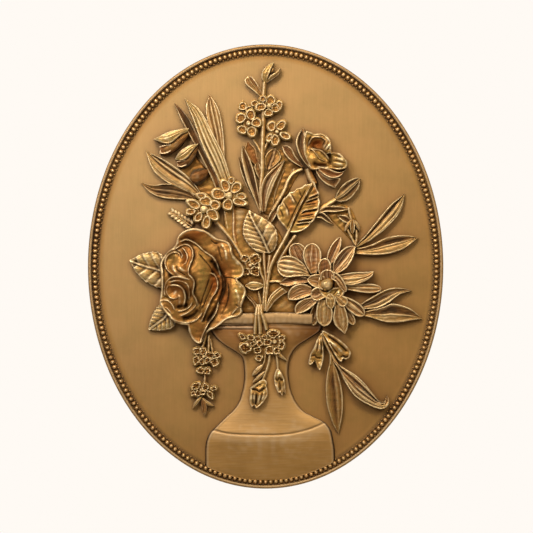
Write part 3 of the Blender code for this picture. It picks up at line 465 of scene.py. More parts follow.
def ovalBody():
    # Rings round the oval: x = (width / 2 - inset) cos(a), z = (height / 2 - inset) sin(a). They go from the
    # floor of the keyhole out of its mouth, over the flat back, each ring a share of the way from the mouth
    # to the edge, then over the rim's profile and across the ground to its middle.
    # The ground is painted paler towards the top left as a sheen, and darker and redder towards the lower right as
    # shade.
    a = np.linspace(0, 2 * math.pi, rimProfile["stations"], endpoint=False)[None, :]
    halfWidth, halfHeight = plaque["width"] / 2, plaque["height"] / 2
    roomShare, mouthShare, depth = (np.array(keyhole["rings"])[:, i : i + 1] for i in range(3))
    mouth = np.maximum(roundSlot(keyhole["slotHalf"], keyhole["run"], a), keyhole["headRadius"])
    room = roundSlot(keyhole["headRadius"] + keyhole["undercut"], keyhole["run"], a)
    hole = roomShare * room + mouthShare * mouth
    holeX, holeZ = hole * np.cos(a), keyhole["seat"] + hole * np.sin(a)
    share, inset = np.array(rimProfile["backShares"])[:, None], rimProfile["backInset"]
    backX = np.vstack([holeX, holeX[-1:] * (1 - share) + (halfWidth - inset) * np.cos(a) * share])
    backZ = np.vstack([holeZ, holeZ[-1:] * (1 - share) + (halfHeight - inset) * np.sin(a) * share])
    backUp = np.vstack([depth + 0 * holeX, 0 * share + 0 * a]) - plaque["ground"]

    inset, up, hollow, lit = (np.array(rimProfile["section"])[:, i : i + 1] for i in range(4))
    rimX, rimZ = (halfWidth - inset) * np.cos(a), (halfHeight - inset) * np.sin(a)
    wave, long = rimProfile["rimWave"]
    rimUp = up + wave * uneven(rimX, rimZ, long) * (up > 0.9)
    inward = np.linspace(1, 0.004, rimProfile["groundRings"] + 1)[1:, None]
    groundX, groundZ = rimX[-1:] * inward, rimZ[-1:] * inward
    wave, long = rimProfile["groundWave"]
    groundUp = wave * uneven(groundX, groundZ, long) * ease((1 - inward) * 8)

    # painted sheen towards the top left, and painted shade, darker and redder, towards the lower right
    paintedSheenShare = ease(0.5 + (groundZ - 0.8 * groundX) / 420)
    backDark = 0.3 + 0.06 * (backUp + plaque["ground"])
    dark = np.vstack([backDark, hollow + 0 * rimX, rimProfile["groundPaintedShade"] * (1 - paintedSheenShare)])
    rubbed = np.vstack([0 * backX, lit + 0 * rimX, rimProfile["groundPaintedSheen"] * paintedSheenShare])
    red = np.vstack([0 * backX + 0.2, 0.15 + 0 * rimX, 0.2 * (1 - paintedSheenShare)])
    x, z = np.vstack([backX, rimX, groundX]), np.vstack([backZ, rimZ, groundZ])
    return stack(x, z, np.vstack([backUp, rimUp, groundUp]), dark, rubbed, red)


beadString = {
    "pitch": 4.65,
    "inset": 6.1,  # of the beads' middles from the edge
    "long": 5.0,  # towards the middle of the plaque
    "wide": 4.4,
    "height": 3.3,
    "pearlInset": 8.9,  # small pearls between the beads
    "pearl": 1.5,
    "pearlHeight": 1.9,
    "foot": 0.7,  # height over the ground that the beads spring from
    "layers": [-22, 8, 32, 54, 72, 86],  # degrees up a bead
    "pearlLayers": [-22, 20, 50, 80],
}


def ovalLength(halfWidth, halfHeight):
    # A close formula for the way round an oval: pi (3 (a + b) - sqrt((3 a + b)(a + 3 b))).
    total, product = halfWidth + halfHeight, (3 * halfWidth + halfHeight) * (halfWidth + 3 * halfHeight)
    return math.pi * (3 * total - math.sqrt(product))


def beadRow(inset, long, wide, top, offset, layers):
    # Half balls at equal steps of length along an oval. Each is rings, of the given angles b, of radius
    # cos(b) at height top sin(b), drawn out towards the middle of the plaque.
    many = np.linspace(0, 2 * math.pi, 7201)
    halfWidth, halfHeight = plaque["width"] / 2 - inset, plaque["height"] / 2 - inset
    steps = np.hypot(np.diff(halfWidth * np.cos(many)), np.diff(halfHeight * np.sin(many)))
    length = np.concatenate([[0], np.cumsum(steps)])
    room = ovalLength(plaque["width"] / 2, plaque["height"] / 2) - 2 * math.pi * beadString["inset"]
    count = round(room / beadString["pitch"])
    at = np.interp((np.arange(count) + offset) * length[-1] / count, length, many)[:, None, None]
    inward = np.stack([-np.cos(at) / halfWidth, -np.sin(at) / halfHeight])
    inward = inward / np.hypot(*inward)
    b = np.radians(layers)[:, None]
    a = np.linspace(0, 2 * math.pi, 12, endpoint=False)[None, :]
    size = 1 + 0.05 * np.sin(37.0 * at)
    u, v = long / 2 * np.cos(b) * np.cos(a) * size, wide / 2 * np.cos(b) * np.sin(a) * size
    x = halfWidth * np.cos(at) + inward[0] * u - inward[1] * v
    z = halfHeight * np.sin(at) + inward[1] * u + inward[0] * v
    up = beadString["foot"] + (top - beadString["foot"]) * np.sin(b) + 0 * x
    return stack(x, z, up, 0.9 * ease((top * 0.80 - up) / 1.5), 0.35 * ease((up - top * 0.86) / 0.5), 0.4)


def beads():
    # The big beads, and the small pearls inside them, each between two beads.
    pearl = beadString["pearl"]
    return [
        beadRow(
            beadString["inset"], beadString["long"], beadString["wide"], beadString["height"], 0.0,
            beadString["layers"],
        ),
        beadRow(
            beadString["pearlInset"], pearl, pearl, beadString["pearlHeight"], 0.5, beadString["pearlLayers"],
        ),
    ]


# The vase

vase = {
    # z, left edge, right edge, height at the edge, height in the middle
    "rows": [
        (-192.4, -54.0, 62.0, 1.6, 2.2), (-186, -54.0, 62.0, 1.6, 3.2), (-176, -54.0, 62.0, 1.6, 4.8),
        (-165, -54.0, 61.8, 2.2, 6.8), (-157, -53.0, 60.6, 2.4, 7.8),
        (-150, -50.0, 59.2, 2.2, 7.6), (-145, -45.5, 57.0, 1.9, 6.9),
        (-140, -40.5, 52.5, 1.7, 6.4), (-135, -35.5, 43.0, 1.6, 6.3), (-130, -30.0, 34.0, 1.6, 6.4),
        (-122, -24.3, 27.4, 1.7, 6.7), (-112, -21.0, 23.0, 1.8, 7.0), (-103, -19.5, 21.2, 1.8, 7.2),
        (-94, -19.4, 20.4, 1.8, 7.4), (-84, -20.6, 21.6, 1.8, 7.6), (-79, -24.0, 23.6, 1.8, 7.7),
        (-75, -30.0, 26.0, 1.8, 7.8), (-70, -38.0, 31.0, 1.8, 7.8), (-65, -44.0, 39.0, 1.8, 7.9),
        (-58, -49.0, 49.0, 1.9, 7.9), (-50, -51.0, 52.0, 2.1, 8.1),
    ],
    "footLine": [-50, -146.5, -43, -148, -30, -150.4, 0, -151.4, 20, -150.4, 35, -147.4, 46, -143.6, 54, -139.8],
    "mouldings": [-53.2, -56.2],
    "lip": [(-52.0, 6.6), (-51.0, 8.4), (-49.6, 9.1), (-46.5, 9.4), (-43.4, 9.1), (-42.2, 8.4), (-41.4, 6.6)],
    "lipEnds": (-40, 42),
    "lipBow": 1.1,  # higher in the middle
    # shares along the lip's section, with its two walls
    "lipRubbed": [0, 0, 0.05, 0.1, 0.0, 0.0, 0.15, 0, 0],
    "lipDark": [1, 0.9, 0.45, 0.25, 0.4, 0.35, 0.45, 0.9, 1],
    "rowsBetween": 230,
    "columns": 91,
    "footStep": 0.25,  # how far the foot stands out under its line
    "bandHigh": 0.4,
}


def vaseBody():
    # Rows of z up the vase, and s from its left outline to its right. Height is
    # edge + (middle - edge)(1 - s^2)^0.6, plus the foot's step below its line and the mouldings' grooves.
    rows = np.array(vase["rows"])
    z = np.linspace(rows[0, 0], rows[-1, 0], vase["rowsBetween"])
    left, right = (np.interp(z, *smoothLine(rows[:, [0, i]], 600).T) for i in (1, 2))
    edge, middle = (np.interp(z, rows[:, 0], rows[:, i])[:, None] for i in (3, 4))
    inset = beadString["inset"] + 1.0
    room = np.sqrt(np.clip(1 - (z / (plaque["height"] / 2 - inset)) ** 2, 0, 1)) * (plaque["width"] / 2 - inset)
    left, right = np.maximum(left, -room), np.minimum(right, room)
    centre, half = ((left + right) / 2)[:, None], ((right - left) / 2)[:, None]
    inner = np.sin(np.linspace(-math.pi / 2, math.pi / 2, vase["columns"]))
    s = np.concatenate([[-1.01, -1.006], inner, [1.006, 1.01]])[None, :]
    wall = np.concatenate([[1.0, 0.4], np.zeros(vase["columns"]), [0.4, 1.0]])[None, :]
    x, z = centre + half * s, z[:, None] + 0 * s
    flat = np.clip(np.abs(s), 0, 1)
    fromEdge = half * (1 - flat)
    up = edge + (middle - edge) * (1 - flat**2) ** 0.6 - edgeFall(fromEdge, 1.1) + 0.35 * bump(fromEdge, 1.8, 1.2)

    # the foot, under its line
    below = np.interp(x, *smoothLine(vase["footLine"], 200).T) - z
    up = up + vase["footStep"] * ease(below / 2.4) - 0.6 * bump(below, -0.2, 0.7)
    # the dark at the outline and on the walls is wash with painted contact shade
    hollow = 0.8 * bump(fromEdge, 0.2, 0.9) + 0.8 * bump(below, -0.3, 0.7) + 0.7 * wall + 0.16 * ease(below / 6)
    lit = 0.3 * bump(fromEdge, 1.6, 1.0) + 0.3 * bump(below, 1.4, 0.8)

    # two fine bands under the lip, faint where the flowers hang over them
    there = 0.25 + 0.75 * ease((-6 - x) / 5)
    for level in vase["mouldings"]:
        ridge, groove = bump(z, level + 1.3, 0.8), bump(z, level, 0.7)
        up = up + vase["bandHigh"] * there * (ridge - groove)
        lit, hollow = lit + 0.5 * there * ridge, hollow + 0.7 * there * groove

    # brush marks, a painted highlight on the shoulder of the foot, the lower neck paler, and the warm shade under the
    # mouth
    brushed = uneven(x * 0.12, z, 3.4)
    up = up + 0.03 * brushed * ease(fromEdge)
    lit = lit + 0.07 * np.clip(brushed, 0, 1) * ease((-112 - z) / 12) + 0.22 * bump(below, 4.5, 4.0)
    lit = lit + 0.10 * ease((-100 - z) / 30) * ease(-below)
    mouth = ease((z + 88) / 30) * ease((-50 - z) / 4)
    hollow = hollow + 0.16 * mouth * (0.5 + flat) + 0.10 * ease((z + 112) / 14)
    return stack(x, z, rooted(up, wall), hollow, lit * (1 - wall), 0.10 + 0.55 * mouth)


def vaseLip():
    # A flat moulding across the vase's mouth: the same section all along, bowed by 1 - (x / end)^2.
    x = np.linspace(*vase["lipEnds"], 90)[None, :]
    rows = np.array(vase["lip"])
    z, up = rows[:, :1], rows[:, 1:]
    z = np.vstack([z[:1], z, z[-1:]]) + 0.35 * np.sin(x / 9)
    bow = vase["lipBow"] * (1 - (x / vase["lipEnds"][1]) ** 2)
    root = 0 * x - 1
    up = np.vstack([root, up + bow + 0.25 * uneven(x, z[1:-1], 4.0), root])
    lit = np.array(vase["lipRubbed"])[:, None] * (1 + uneven(x, 0 * x, 5.0))
    dark = np.array(vase["lipDark"])[:, None] + 0 * x
    return stack((x + 0 * z).T, z.T, up.T, dark.T, (np.clip(lit, 0, 1) + 0 * x).T, 0.1)


# The bouquet, piece by piece. Outlines give x and z in turn, those of a leaf from its base to its tip

longLeaves = [
    # the sword leaves at the upper left
    dict(
        left=[-42, 84, -45, 100, -49, 118, -53, 132, -54, 144, -50.7, 154.5],
        right=[-35, 84, -36.5, 95, -37, 108, -38, 120, -39.5, 131, -42, 141, -46, 149, -50.5, 154.7],
        heights=(3.2, 4.4, 3),
        section=[-1, 0.3, -0.6, 0.5, -0.35, -0.7, -0.05, 0.6, 0.2, -0.7, 0.5, 0.5, 0.75, -0.4, 1, 0.5],
        red=0.5, along=56,
    ),
    dict(
        left=[-45, 70, -49, 80, -55, 92, -61, 104, -67, 115, -72, 124, -77, 134, -82, 146.5],
        right=[-40, 70, -43, 80, -48, 90, -53, 100, -58, 111, -63, 122, -68, 132, -74, 140, -81.6, 146.5],
        heights=(5.4, 5.8, 3.4), section=[-1, 1, -0.7, 0.5, -0.2, -1.3, 0.5, -1.7, 1, -0.8], rims=(0.7, 0.2), dark=0.32,
        red=0.9, crest=0.8, along=60,
    ),
    dict(
        left=[-41, 74, -46, 85, -52, 97, -57, 108, -61, 119, -65, 131, -69, 141, -72.6, 151],
        right=[-30, 76, -33, 85, -36, 95, -40, 105, -45, 115, -50, 125, -55, 135, -61, 143, -72, 151.2],
        heights=(5.4, 6.4, 4), lines=1, lineDepth=0.12, red=0, along=72, across=49,
        section=[
            -1, 0.3, -0.75, 0.6, -0.52, -0.45, -0.3, 0.35, -0.08, -0.35, 0.2, 0.55, 0.42, -0.3, 0.62, 0.3, 0.82, -0.35,
            1, 0.4,
        ],
    ),
    # the side leaves at the left
    dict(
        left=[-62, 63, -70, 67, -79, 71, -87, 74.5, -95, 80, -101, 86, -105, 94, -108, 104],
        right=[-58, 66, -64, 75, -72, 83, -80, 89, -88, 94.5, -96, 99, -108, 104.3],
        heights=(3.4, 4.2, 2), lines=1, lineDepth=0.12, red=0.3, dark=0.1, crest=0.85, along=60, across=41,
        section=[-1, 0.5, -0.7, -0.3, -0.45, 0.2, -0.15, -0.2, 0.12, -1, 0.35, 0.5, 0.6, -0.9, 0.82, 0.4, 1, 0.3],
    ),
    dict(
        left=[-64, 60, -72, 60, -82, 60.5, -92, 61.5, -100, 64, -106, 68, -112, 75],
        right=[-62, 61, -68, 68, -75, 71.5, -83, 74, -92, 74.5, -101, 73.3, -112, 75.4],
        heights=(3.6, 4.4, 2.2), lines=2, lineDepth=0.22, rims=(0.2, 0.6), dark=0.34, red=0.4, crest=0.55, along=60,
        across=37,
        section=[-1, 0.2, -0.6, -0.7, -0.3, -1.2, 0, -0.6, 0.3, -1, 0.7, -0.4, 1, 0.8],
    ),
    # beside the tall stem
    dict(
        left=[-12, 62, -19, 76, -23, 88, -24.5, 99], right=[-9, 64, -14, 78, -20, 92, -24, 99], heights=(2.4, 3, 1.8),
        red=0.2,
    ),
    dict(
        left=[-5, 48, -10, 60, -16, 74, -20, 88, -22, 99, -21, 108.5],
        right=[-3, 49, -5.5, 62, -8, 76, -11, 88, -15, 99, -20.6, 108.7],
        heights=(4.6, 6.2, 4.6), red=0.45, dark=0.1, along=60,
        section=[-1, 0.4, -0.7, 0.7, -0.35, -0.2, 0.05, -2.2, 0.5, -1.2, 0.8, 0.7, 1, 0.5],
    ),
    dict(
        left=[-4, 76, -8.5, 84, -10, 90, -7.5, 94], right=[-2, 76, -3.5, 84, -4.5, 90, -7, 94], heights=(2.8, 3.8, 2.8),
        section=dished, dark=0.15,
    ),
    dict(
        left=[-6, 88, -15, 97, -19, 105, -17, 112], right=[-3, 90, -7, 98, -9, 106, -15, 112], heights=(1.6, 2, 1.4),
        section=dished, red=0.6, crest=0.4,
    ),
    dict(
        left=[0, 86, -1, 96, 2, 103, 8, 107], right=[5, 88, 11, 93, 14, 99, 10, 107], heights=(1.6, 2.2, 1.6),
        section=dished, midrib=0.3, red=0.3, crest=0.4,
    ),
    dict(
        left=[6, 54, 8, 66, 12, 78, 17, 90], right=[12, 56, 17, 68, 22, 80, 25, 88], heights=(1.2, 1.8, 1.2),
        section=dished, lines=2, red=0.3, crest=0.3,
    ),
    dict(
        left=[-3, 49, -4.5, 60, -4.5, 70, -1, 80, 5, 86.5, 11, 91.5, 17, 96],
        right=[0, 50, 2.5, 60, 5.5, 68, 9, 77, 12.5, 84, 15, 90, 17.3, 95.6],
        heights=(4.8, 6.8, 5), rims=(0.8, 0.2), red=0.5, along=56, across=37,
        section=[-1, 1.2, -0.75, 0.6, -0.35, -1.8, 0.1, -1.2, 0.35, 0.7, 0.6, 0.1, 1, -0.5],
    ),
    # under the peony and at the right
    dict(
        left=[62, 61, 65, 68, 70, 74, 76, 78, 82, 80, 85.6, 78.6],
        right=[62, 59, 68, 58, 75, 60, 80, 65, 84, 71, 85.6, 78.2],
        heights=(4.2, 6, 4.4), red=0.25, dark=0.4, crest=0.9, along=50, rims=(0.4, 0.2),
        section=[
            -1, 0.5, -0.75, -0.2, -0.5, -0.9, -0.25, 0.3, -0.08, 0.8, 0, -0.6, 0.1, 0.9, 0.3, -0.5, 0.6, -0.6, 1, -0.6,
        ],
    ),
    dict(
        left=[44, 50, 53, 54, 64, 54.5, 75, 52], right=[44, 47, 54, 49, 64, 49, 75, 51.4], heights=(3.6, 5, 3.4),
        red=0.3, dark=0.1,
    ),
    dict(
        left=[43, 47, 50, 49, 56, 45, 61, 38], right=[42, 43, 49, 43.5, 55, 40, 60.6, 37.6], heights=(3.6, 5, 3.2),
        red=0.2, dark=0.2,
    ),
    dict(left=[77, 42, 72, 46, 64.5, 46], right=[76, 38, 70, 40, 64.5, 45.4], heights=(3.4, 4.4, 2.8), dark=0.25),
    dict(
        left=[81, 18, 85, 23, 90, 28.5, 96, 36, 102, 43.5, 108, 51, 113, 56.5, 118, 60.5, 125, 65.3],
        right=[82, 17, 88, 20, 94, 23, 100, 27.5, 106, 32, 112, 38, 118, 44.5, 122, 51, 124, 57, 125.2, 65],
        heights=(4.2, 5.4, 2.6), red=0.2, dark=0.16, crest=0.8, along=66, across=41,
        section=[-1, 0.8, -0.75, 0.4, -0.45, -1.8, -0.15, -0.5, 0.15, 0.2, 0.4, -0.3, 0.65, 0.8, 0.82, 0.2, 1, 0.6],
    ),
    dict(
        left=[82, 16.5, 90, 18, 98, 21, 106, 25, 114, 27.3, 122, 28.2, 130, 27.8, 137, 26],
        right=[81, 11, 90, 10.3, 100, 10.2, 108, 10.8, 116, 12.5, 124, 15.5, 130, 19.5, 137, 25.6],
        heights=(4.6, 5.8, 2.8), red=0.4, dark=0.16, crest=0.8, along=66, across=41, rims=(0.3, 0.6),
        section=[-1, 0.3, -0.75, -0.4, -0.35, -1.7, -0.05, 0.5, 0.1, 0, 0.3, 0.7, 0.55, 0.9, 0.8, 0.6, 1, -0.4],
    ),
    dict(
        left=[85, -34, 91, -30, 98, -26, 104, -22.5, 111, -19.8, 118, -19, 125, -19.8, 131, -21.5],
        right=[88, -38.5, 95, -38.3, 101, -37.5, 107, -35, 112, -32, 117, -28, 122, -24.7, 131, -21.9],
        heights=(4.6, 5.8, 2.8), red=0.35, dark=0.16, crest=0.8, along=60, across=37, lines=1, lineDepth=0.1,
        section=[-1, 0.7, -0.6, -0.8, -0.1, -1.6, 0.2, 0.4, 0.45, 0.5, 0.62, 0, 0.82, 0.5, 1, -0.2],
    ),
    dict(
        left=[
            88, -41, 95, -39, 102, -37.5, 108, -35.5, 113, -33.3, 119, -34, 126, -36, 132, -39, 137, -43, 140.7, -46.5,
        ],
        right=[88, -44.5, 94, -46, 100, -48, 107, -50, 114, -50.7, 121, -50.3, 128, -49.2, 134, -48.2, 140.7, -47.1],
        heights=(4.8, 6, 2.8), red=0.4, dark=0.16, crest=0.8, along=66, across=41, lines=1, lineDepth=0.1,
        section=[-1, 0.6, -0.6, -1.1, -0.15, -1.4, 0.1, 0.9, 0.3, 0.3, 0.55, 0.5, 0.8, 0.5, 1, -0.4],
    ),
    # at the lower right
    dict(
        left=[58, -84, 56, -92, 54.3, -102, 54, -112, 55, -124, 58, -135, 61, -143, 65.5, -150],
        right=[60, -84, 64, -93, 67, -103, 69, -113, 69.6, -124, 69, -134, 67.5, -142, 65.7, -150],
        heights=(4.6, 5, 2.2), section=[-1, 0.7, -0.7, 0.4, -0.4, -0.5, 0, -1.2, 0.35, -0.2, 0.7, -0.5, 1, 0.4],
        rims=(0.5, 0.25), dark=0.15, crest=0.5, red=0.35, along=60,
    ),
    dict(
        left=[60, -82, 66, -88, 72, -92, 80, -97, 87, -103, 93, -110, 98, -116, 102, -120.3, 106, -121.5, 109, -116.8],
        right=[
            61, -86, 66, -93, 70, -101, 74, -108, 79, -115, 85, -120, 92, -124, 99, -127, 105, -128, 110, -125,
            111, -120, 109.4, -116.6,
        ],
        heights=(5.2, 7.6, 4.6), red=0.5, along=76, across=49, lines=1, lineDepth=0.1, rims=(0.9, 0.9),
        section=[
            -1, 0.9, -0.84, -0.4, -0.68, 0.7, -0.35, -1.8, 0, -0.5, 0.15, -1, 0.42, 0.9, 0.62, 0.4, 0.8, -0.7, 1, 0.9,
        ],
    ),
    dict(
        left=[66, -91.6, 72, -97, 80, -104, 88.5, -111], right=[65.6, -93, 71, -99, 79, -106.4, 87.5, -112.6],
        heights=(5.4, 7.4, 6), section=domed, rims=(0, 0), red=1, along=40, across=13,
    ),
    dict(
        left=[70, -99, 75, -105, 82, -112, 90, -118, 97, -121.5, 104, -123],
        right=[69.8, -100, 75, -107.5, 82, -115.6, 90, -121.4, 97, -124.6, 104, -125], heights=(5.6, 8, 6.4),
        section=domed, rims=(0, 0), red=0, dark=-0.3, crest=1.6, fine=0.16, along=50, across=17,
    ),
    # reeds over the vase, and small ones
    dict(
        left=[-6, -40, -9, -33, -14, -27, -20, -22], right=[-8, -40, -11.5, -33, -16, -28, -20.2, -22.6],
        heights=(9.6, 8.6, 5.6), section=dished, dark=0.05,
    ),
    dict(left=[-5, -37, -6, -30, -7, -22], right=[-3, -37, -3.5, -30, -6, -22], heights=(9, 8.2, 6.6), section=domed),
    dict(
        left=[0, -40, 1, -34, 3, -28, 7, -23, 13.5, -18], right=[1, -41, 5, -36, 9, -31, 14, -27, 20, -23],
        heights=(10.2, 9.4, 6.4), rims=(0.6, 0.1), section=[-1, 0.6, -0.55, -0.3, -0.3, 0.5, 0, 0.1, 0.5, -1, 1, -1.6],
    ),
    dict(left=[1, 40, 4, 48, 10, 54], right=[6, 40, 10, 47, 11, 54], heights=(3.4, 4.6, 3.4), section=dished, dark=0.1),
    dict(
        left=[-3, 151, -10, 157, -17, 163, -19, 168, -15.5, 171.5],
        right=[-2, 153, -5, 160, -8.5, 166, -12, 170.5, -15, 171.5], heights=(3.8, 5.2, 3.2),
        section=[-1, 0.4, -0.5, -0.6, -0.05, -0.2, 0.05, 0.8, 0.2, -0.5, 0.6, -1.4, 1, -0.2], red=0.35,
    ),
    dict(
        left=[9, -75, 13, -77, 19.5, -84.5], right=[8, -80, 13, -82, 19, -84.9], heights=(9.6, 9.6, 7.8), section=domed,
    ),
]

bigLeaf = {
    "centre": (30, 52),
    "outline": [
        21, 31, 17.5, 35, 13, 40, 10.3, 45, 10, 50, 11.6, 54.5, 13.4, 56, 16, 61, 18.6, 63, 21.5, 66.5, 25, 67.6,
        28, 70, 32, 71.2, 35, 73.4, 39, 74.4, 43.2, 76.6, 45.2, 72, 46.2, 69, 48.2, 66, 47.8, 62, 49, 58, 48.2, 54,
        47.8, 50, 46, 47, 44, 42, 41, 39, 38, 35, 33, 32, 27, 30.3,
    ],
    "level": 7.6,
    "swells": [
        (17, 46, 6, 9, 1), (27, 63, 6, 6, 0.9), (41, 56, 6, 3.5, 0.8), (36, 46, 8, 2.6, 0.8), (34, 36, 8, 3, 0.8),
        (44, 68, 4, 4, 0.6),
    ],
    "strokes": {
        "lip": [
            [20.7, 31.5, 25.4, 42.9, 30.7, 54.3, 35, 62.1, 38.4, 68.5, 42, 75], [37.6, 61.8, 42.1, 63.6, 47.9, 66.1],
            [35.6, 58.2, 40.7, 60.2, 47.9, 62.6], [31.8, 48.2, 35, 50.4, 40.7, 51.4, 47.4, 52.9],
            [28.4, 41.1, 33.6, 42, 43.2, 43.2], [27.4, 38.2, 33.6, 39.2, 41.4, 40],
        ],
        "crease": [
            [23, 33, 27.3, 42.4, 32.5, 53.6, 37, 61.6, 41, 68.5, 43.2, 73],
            [19, 34, 23, 43, 28.4, 54.6, 33, 63, 36.5, 69.5], [37.6, 60.2, 42.3, 61.9, 47.6, 64.2],
            [35.4, 56.6, 40.7, 58.6, 47.6, 60.8], [31.4, 46.6, 35.2, 48.8, 40.8, 49.8, 47.2, 51.3],
            [28.2, 39.8, 34, 40.8, 42.6, 41.8], [26.8, 36.8, 33.4, 37.8, 40.2, 38.6], [34.6, 54.6, 40, 55.8, 46, 56.4],
            [30.4, 44.4, 36, 45.4, 44, 46.8], [22.9, 65.4, 25.4, 61, 28.6, 55.8],
            [16.1, 57.9, 18.6, 54.3, 20.6, 50, 21.6, 45], [12.6, 52, 14.6, 48, 16.4, 43],
            [30, 69.6, 31.4, 65, 33.2, 62],
        ],
        "fold": [[21.2, 65.6, 23.8, 61, 27, 55.6], [14.6, 57.5, 17.2, 54, 19.2, 49.8, 20.2, 44.6]],
    },
    "red": 0.15, "redAt": [(22, 54, 3.5, 8, 0.8), (42, 57, 6, 2.4, 0.6), (38, 47, 7, 2, 0.6), (45, 68, 3, 5, 0.6)],
    "roll": 0.9, "lip": 0.35, "around": 260, "rings": 84,
}

toothedLeaves = [
    dict(
        left=[2, 12, -5, 12.3, -11, 15.5, -16, 21, -19.3, 27, -20.3, 33, -19.5, 40, -17.5, 46, -15, 50.5],
        right=[4, 12, 8, 15, 10.3, 22, 10.3, 29, 8.5, 34, 5, 38.5, 0, 42.5, -6, 46, -14.7, 50.7],
        heights=(7.2, 8.6, 5.6), section=[-1, -0.9, -0.6, 0.4, -0.1, -0.6, 0.1, -0.6, 0.6, 0.5, 1, -0.9],
        rims=(0.3, 0.3), teeth=0.9, toothPitch=4, veins=1.1, veinPitch=(5, 9.5), midrib=0.9, along=96, across=57,
        red=0.3,
    ),
    dict(
        left=[-88, -10, -92, -18, -97, -18.7, -104, -15.6, -110, -12, -116, -6, -120, 0, -122.3, 5],
        right=[-88, 6, -93, 10.5, -99, 13, -107, 12.3, -114, 10.2, -122.3, 6],
        heights=(5.6, 6.2, 3.4), section=[-1, -0.9, -0.6, 0.6, -0.1, -0.6, 0.1, -0.6, 0.6, 0.6, 1, -0.9],
        rims=(0.25, 0.25), teeth=1.1, toothPitch=4.6, veins=1.3, veinPitch=(9, 10), midrib=0.9, along=84, across=57,
        red=0.1,
    ),
    dict(
        left=[-92, -31, -97, -36, -101, -42, -104, -49, -105.5, -56],
        right=[-80, -44, -81, -50, -84, -55, -91, -57.2, -98, -57.8, -105, -57],
        heights=(6.2, 6, 3.6), section=[-1, -0.8, -0.6, 0.4, 0, -0.4, 0.6, 0.4, 1, -0.8],
        rims=(0.25, 0.25), teeth=0.8, toothPitch=4, veins=1, veinPitch=(4.6, 5), midrib=0.5, along=76, across=49,
        red=0.05,
    ),
]

stems = [
    dict(
        points=[-1, 166, -1.5, 158, -2, 146, -2, 130, -2.5, 116, -3, 100, -3, 84, -4.5, 68, -4, 50], width=4.2,
        height=5.4,
    ),
    dict(points=[-11, 114, -7, 108, -4, 102], width=2.6, height=4.2),
    dict(points=[5, 117, 1, 110, -2, 103], width=2.6, height=4.2),
    dict(points=[-29, 56, -28.5, 42, -28.5, 30, -26, 18], width=3.2, height=4.8, red=0.6),
    dict(points=[-22, 52, -22.5, 40, -23, 28, -21, 14], width=5, height=2.6, red=0.4),
    dict(points=[-37, 52, -35, 40, -32.5, 28], width=2.8, height=3.6),
    dict(points=[-50, 48, -42, 38, -35, 30, -29, 22, -21, 9, -13, -6], width=4.2, height=5.4),
    dict(points=[-46, 40, -38, 33, -31, 25, -24, 15], width=2.6, height=4.2),
    dict(points=[6, 50, 12, 60, 17, 69, 20, 77, 25, 84, 33, 88], width=3.2, height=5.8),
    dict(points=[26, 88, 22, 80, 18, 70], width=1.8, height=4.2),
    dict(
        points=[22, 34, 8.6, 18, 26, 8.6, 13, 17, 8.4, 8, 8, 8.2, 4, -2, 8, 2, -14, 8.2, 0.5, -26, 8.6, 0, -40, 9.8],
        width=3,
    ),
    dict(points=[27, 28, 6, 22, 21, 5.8, 17, 13, 5.4, 11, 3, 5], width=3.4, dark=0.15),
    dict(points=[-1.5, 12, 8.4, -1, 2, 8.2, 0, -8, 8, 1, -16, 8], width=2.6, red=0.6),
    dict(points=[4, 10, 7.6, 3, 2, 7.6, 2, -6, 7.4], width=3.4, red=0.5),
    dict(points=[-6, 3, 8, -4, -6, 8.2, -1, -14, 8, -1.5, -26, 9, -2.5, -40, 9.8], width=2.4),
    dict(points=[44, 46, 50, 52, 56, 56, 63, 60.5], width=4.4, height=5),
    dict(points=[74.5, 53, 76, 46, 78, 40], width=2.4, height=4.4),
    dict(points=[74, 33, 77, 27, 80.5, 20], width=2.4, height=4.4, dark=0.1),
    dict(points=[81.5, 33, 82, 26, 81, 19], width=2.4, height=4.4, dark=0.1),
    dict(points=[38, 88, 7, 40, 81, 6.4, 44, 74, 5.6], width=7, red=0.5),
    dict(points=[-53.5, -61, -55.5, -69, -57, -73], width=2.4, height=6),
    dict(points=[-51, -62, -51, -70, -51.5, -78], width=2.2, height=6),
    dict(points=[-49.5, -65, -48.5, -72, -47.5, -78], width=1.8, height=5),
    dict(points=[-54.5, -92, -54.5, -100, -55, -108], width=2.6, height=4.6, dark=0.1, red=0.6),
    dict(points=[2.5, -13.6, 7.2, 8, -13.2, 7.4, 14, -13.6, 7.4], width=2.4),
    dict(points=[4, -77, 11, 3, -86, 10.8, 0.5, -94, 10.6, -2.5, -102, 10.6], width=2.6),
    dict(points=[0, -78, 10.6, -1, -85, 10, -3, -90, 9.6], width=1.8, dark=0.1),
    dict(points=[9.5, -78, 10.6, 10.5, -85, 10.4, 11, -92, 10], width=2),
    dict(points=[50.5, -60, 6.4, 53, -67, 6.6, 56.5, -74, 6.4, 58.5, -80, 6, 58.5, -88, 5.2], width=2.8),
    dict(points=[54, -68, 5.4, 58, -76, 5.8, 62, -84, 5.8, 66, -90, 5.6], width=2.8),
    dict(points=[-7, -34, 10, -8.5, -43, 12.2, -9, -52, 11.6, -9.5, -61, 10.4], width=3, taper=1.25),
    dict(points=[-5.5, -34, 10.2, -6, -43, 12.6, -5.2, -52, 12, -4.6, -61, 10.8], width=3.2, taper=1.25),
    dict(points=[-4, -34, 10, -3.6, -42, 12.4, -1, -49, 12, 1, -57, 11], width=3, taper=1.25),
]

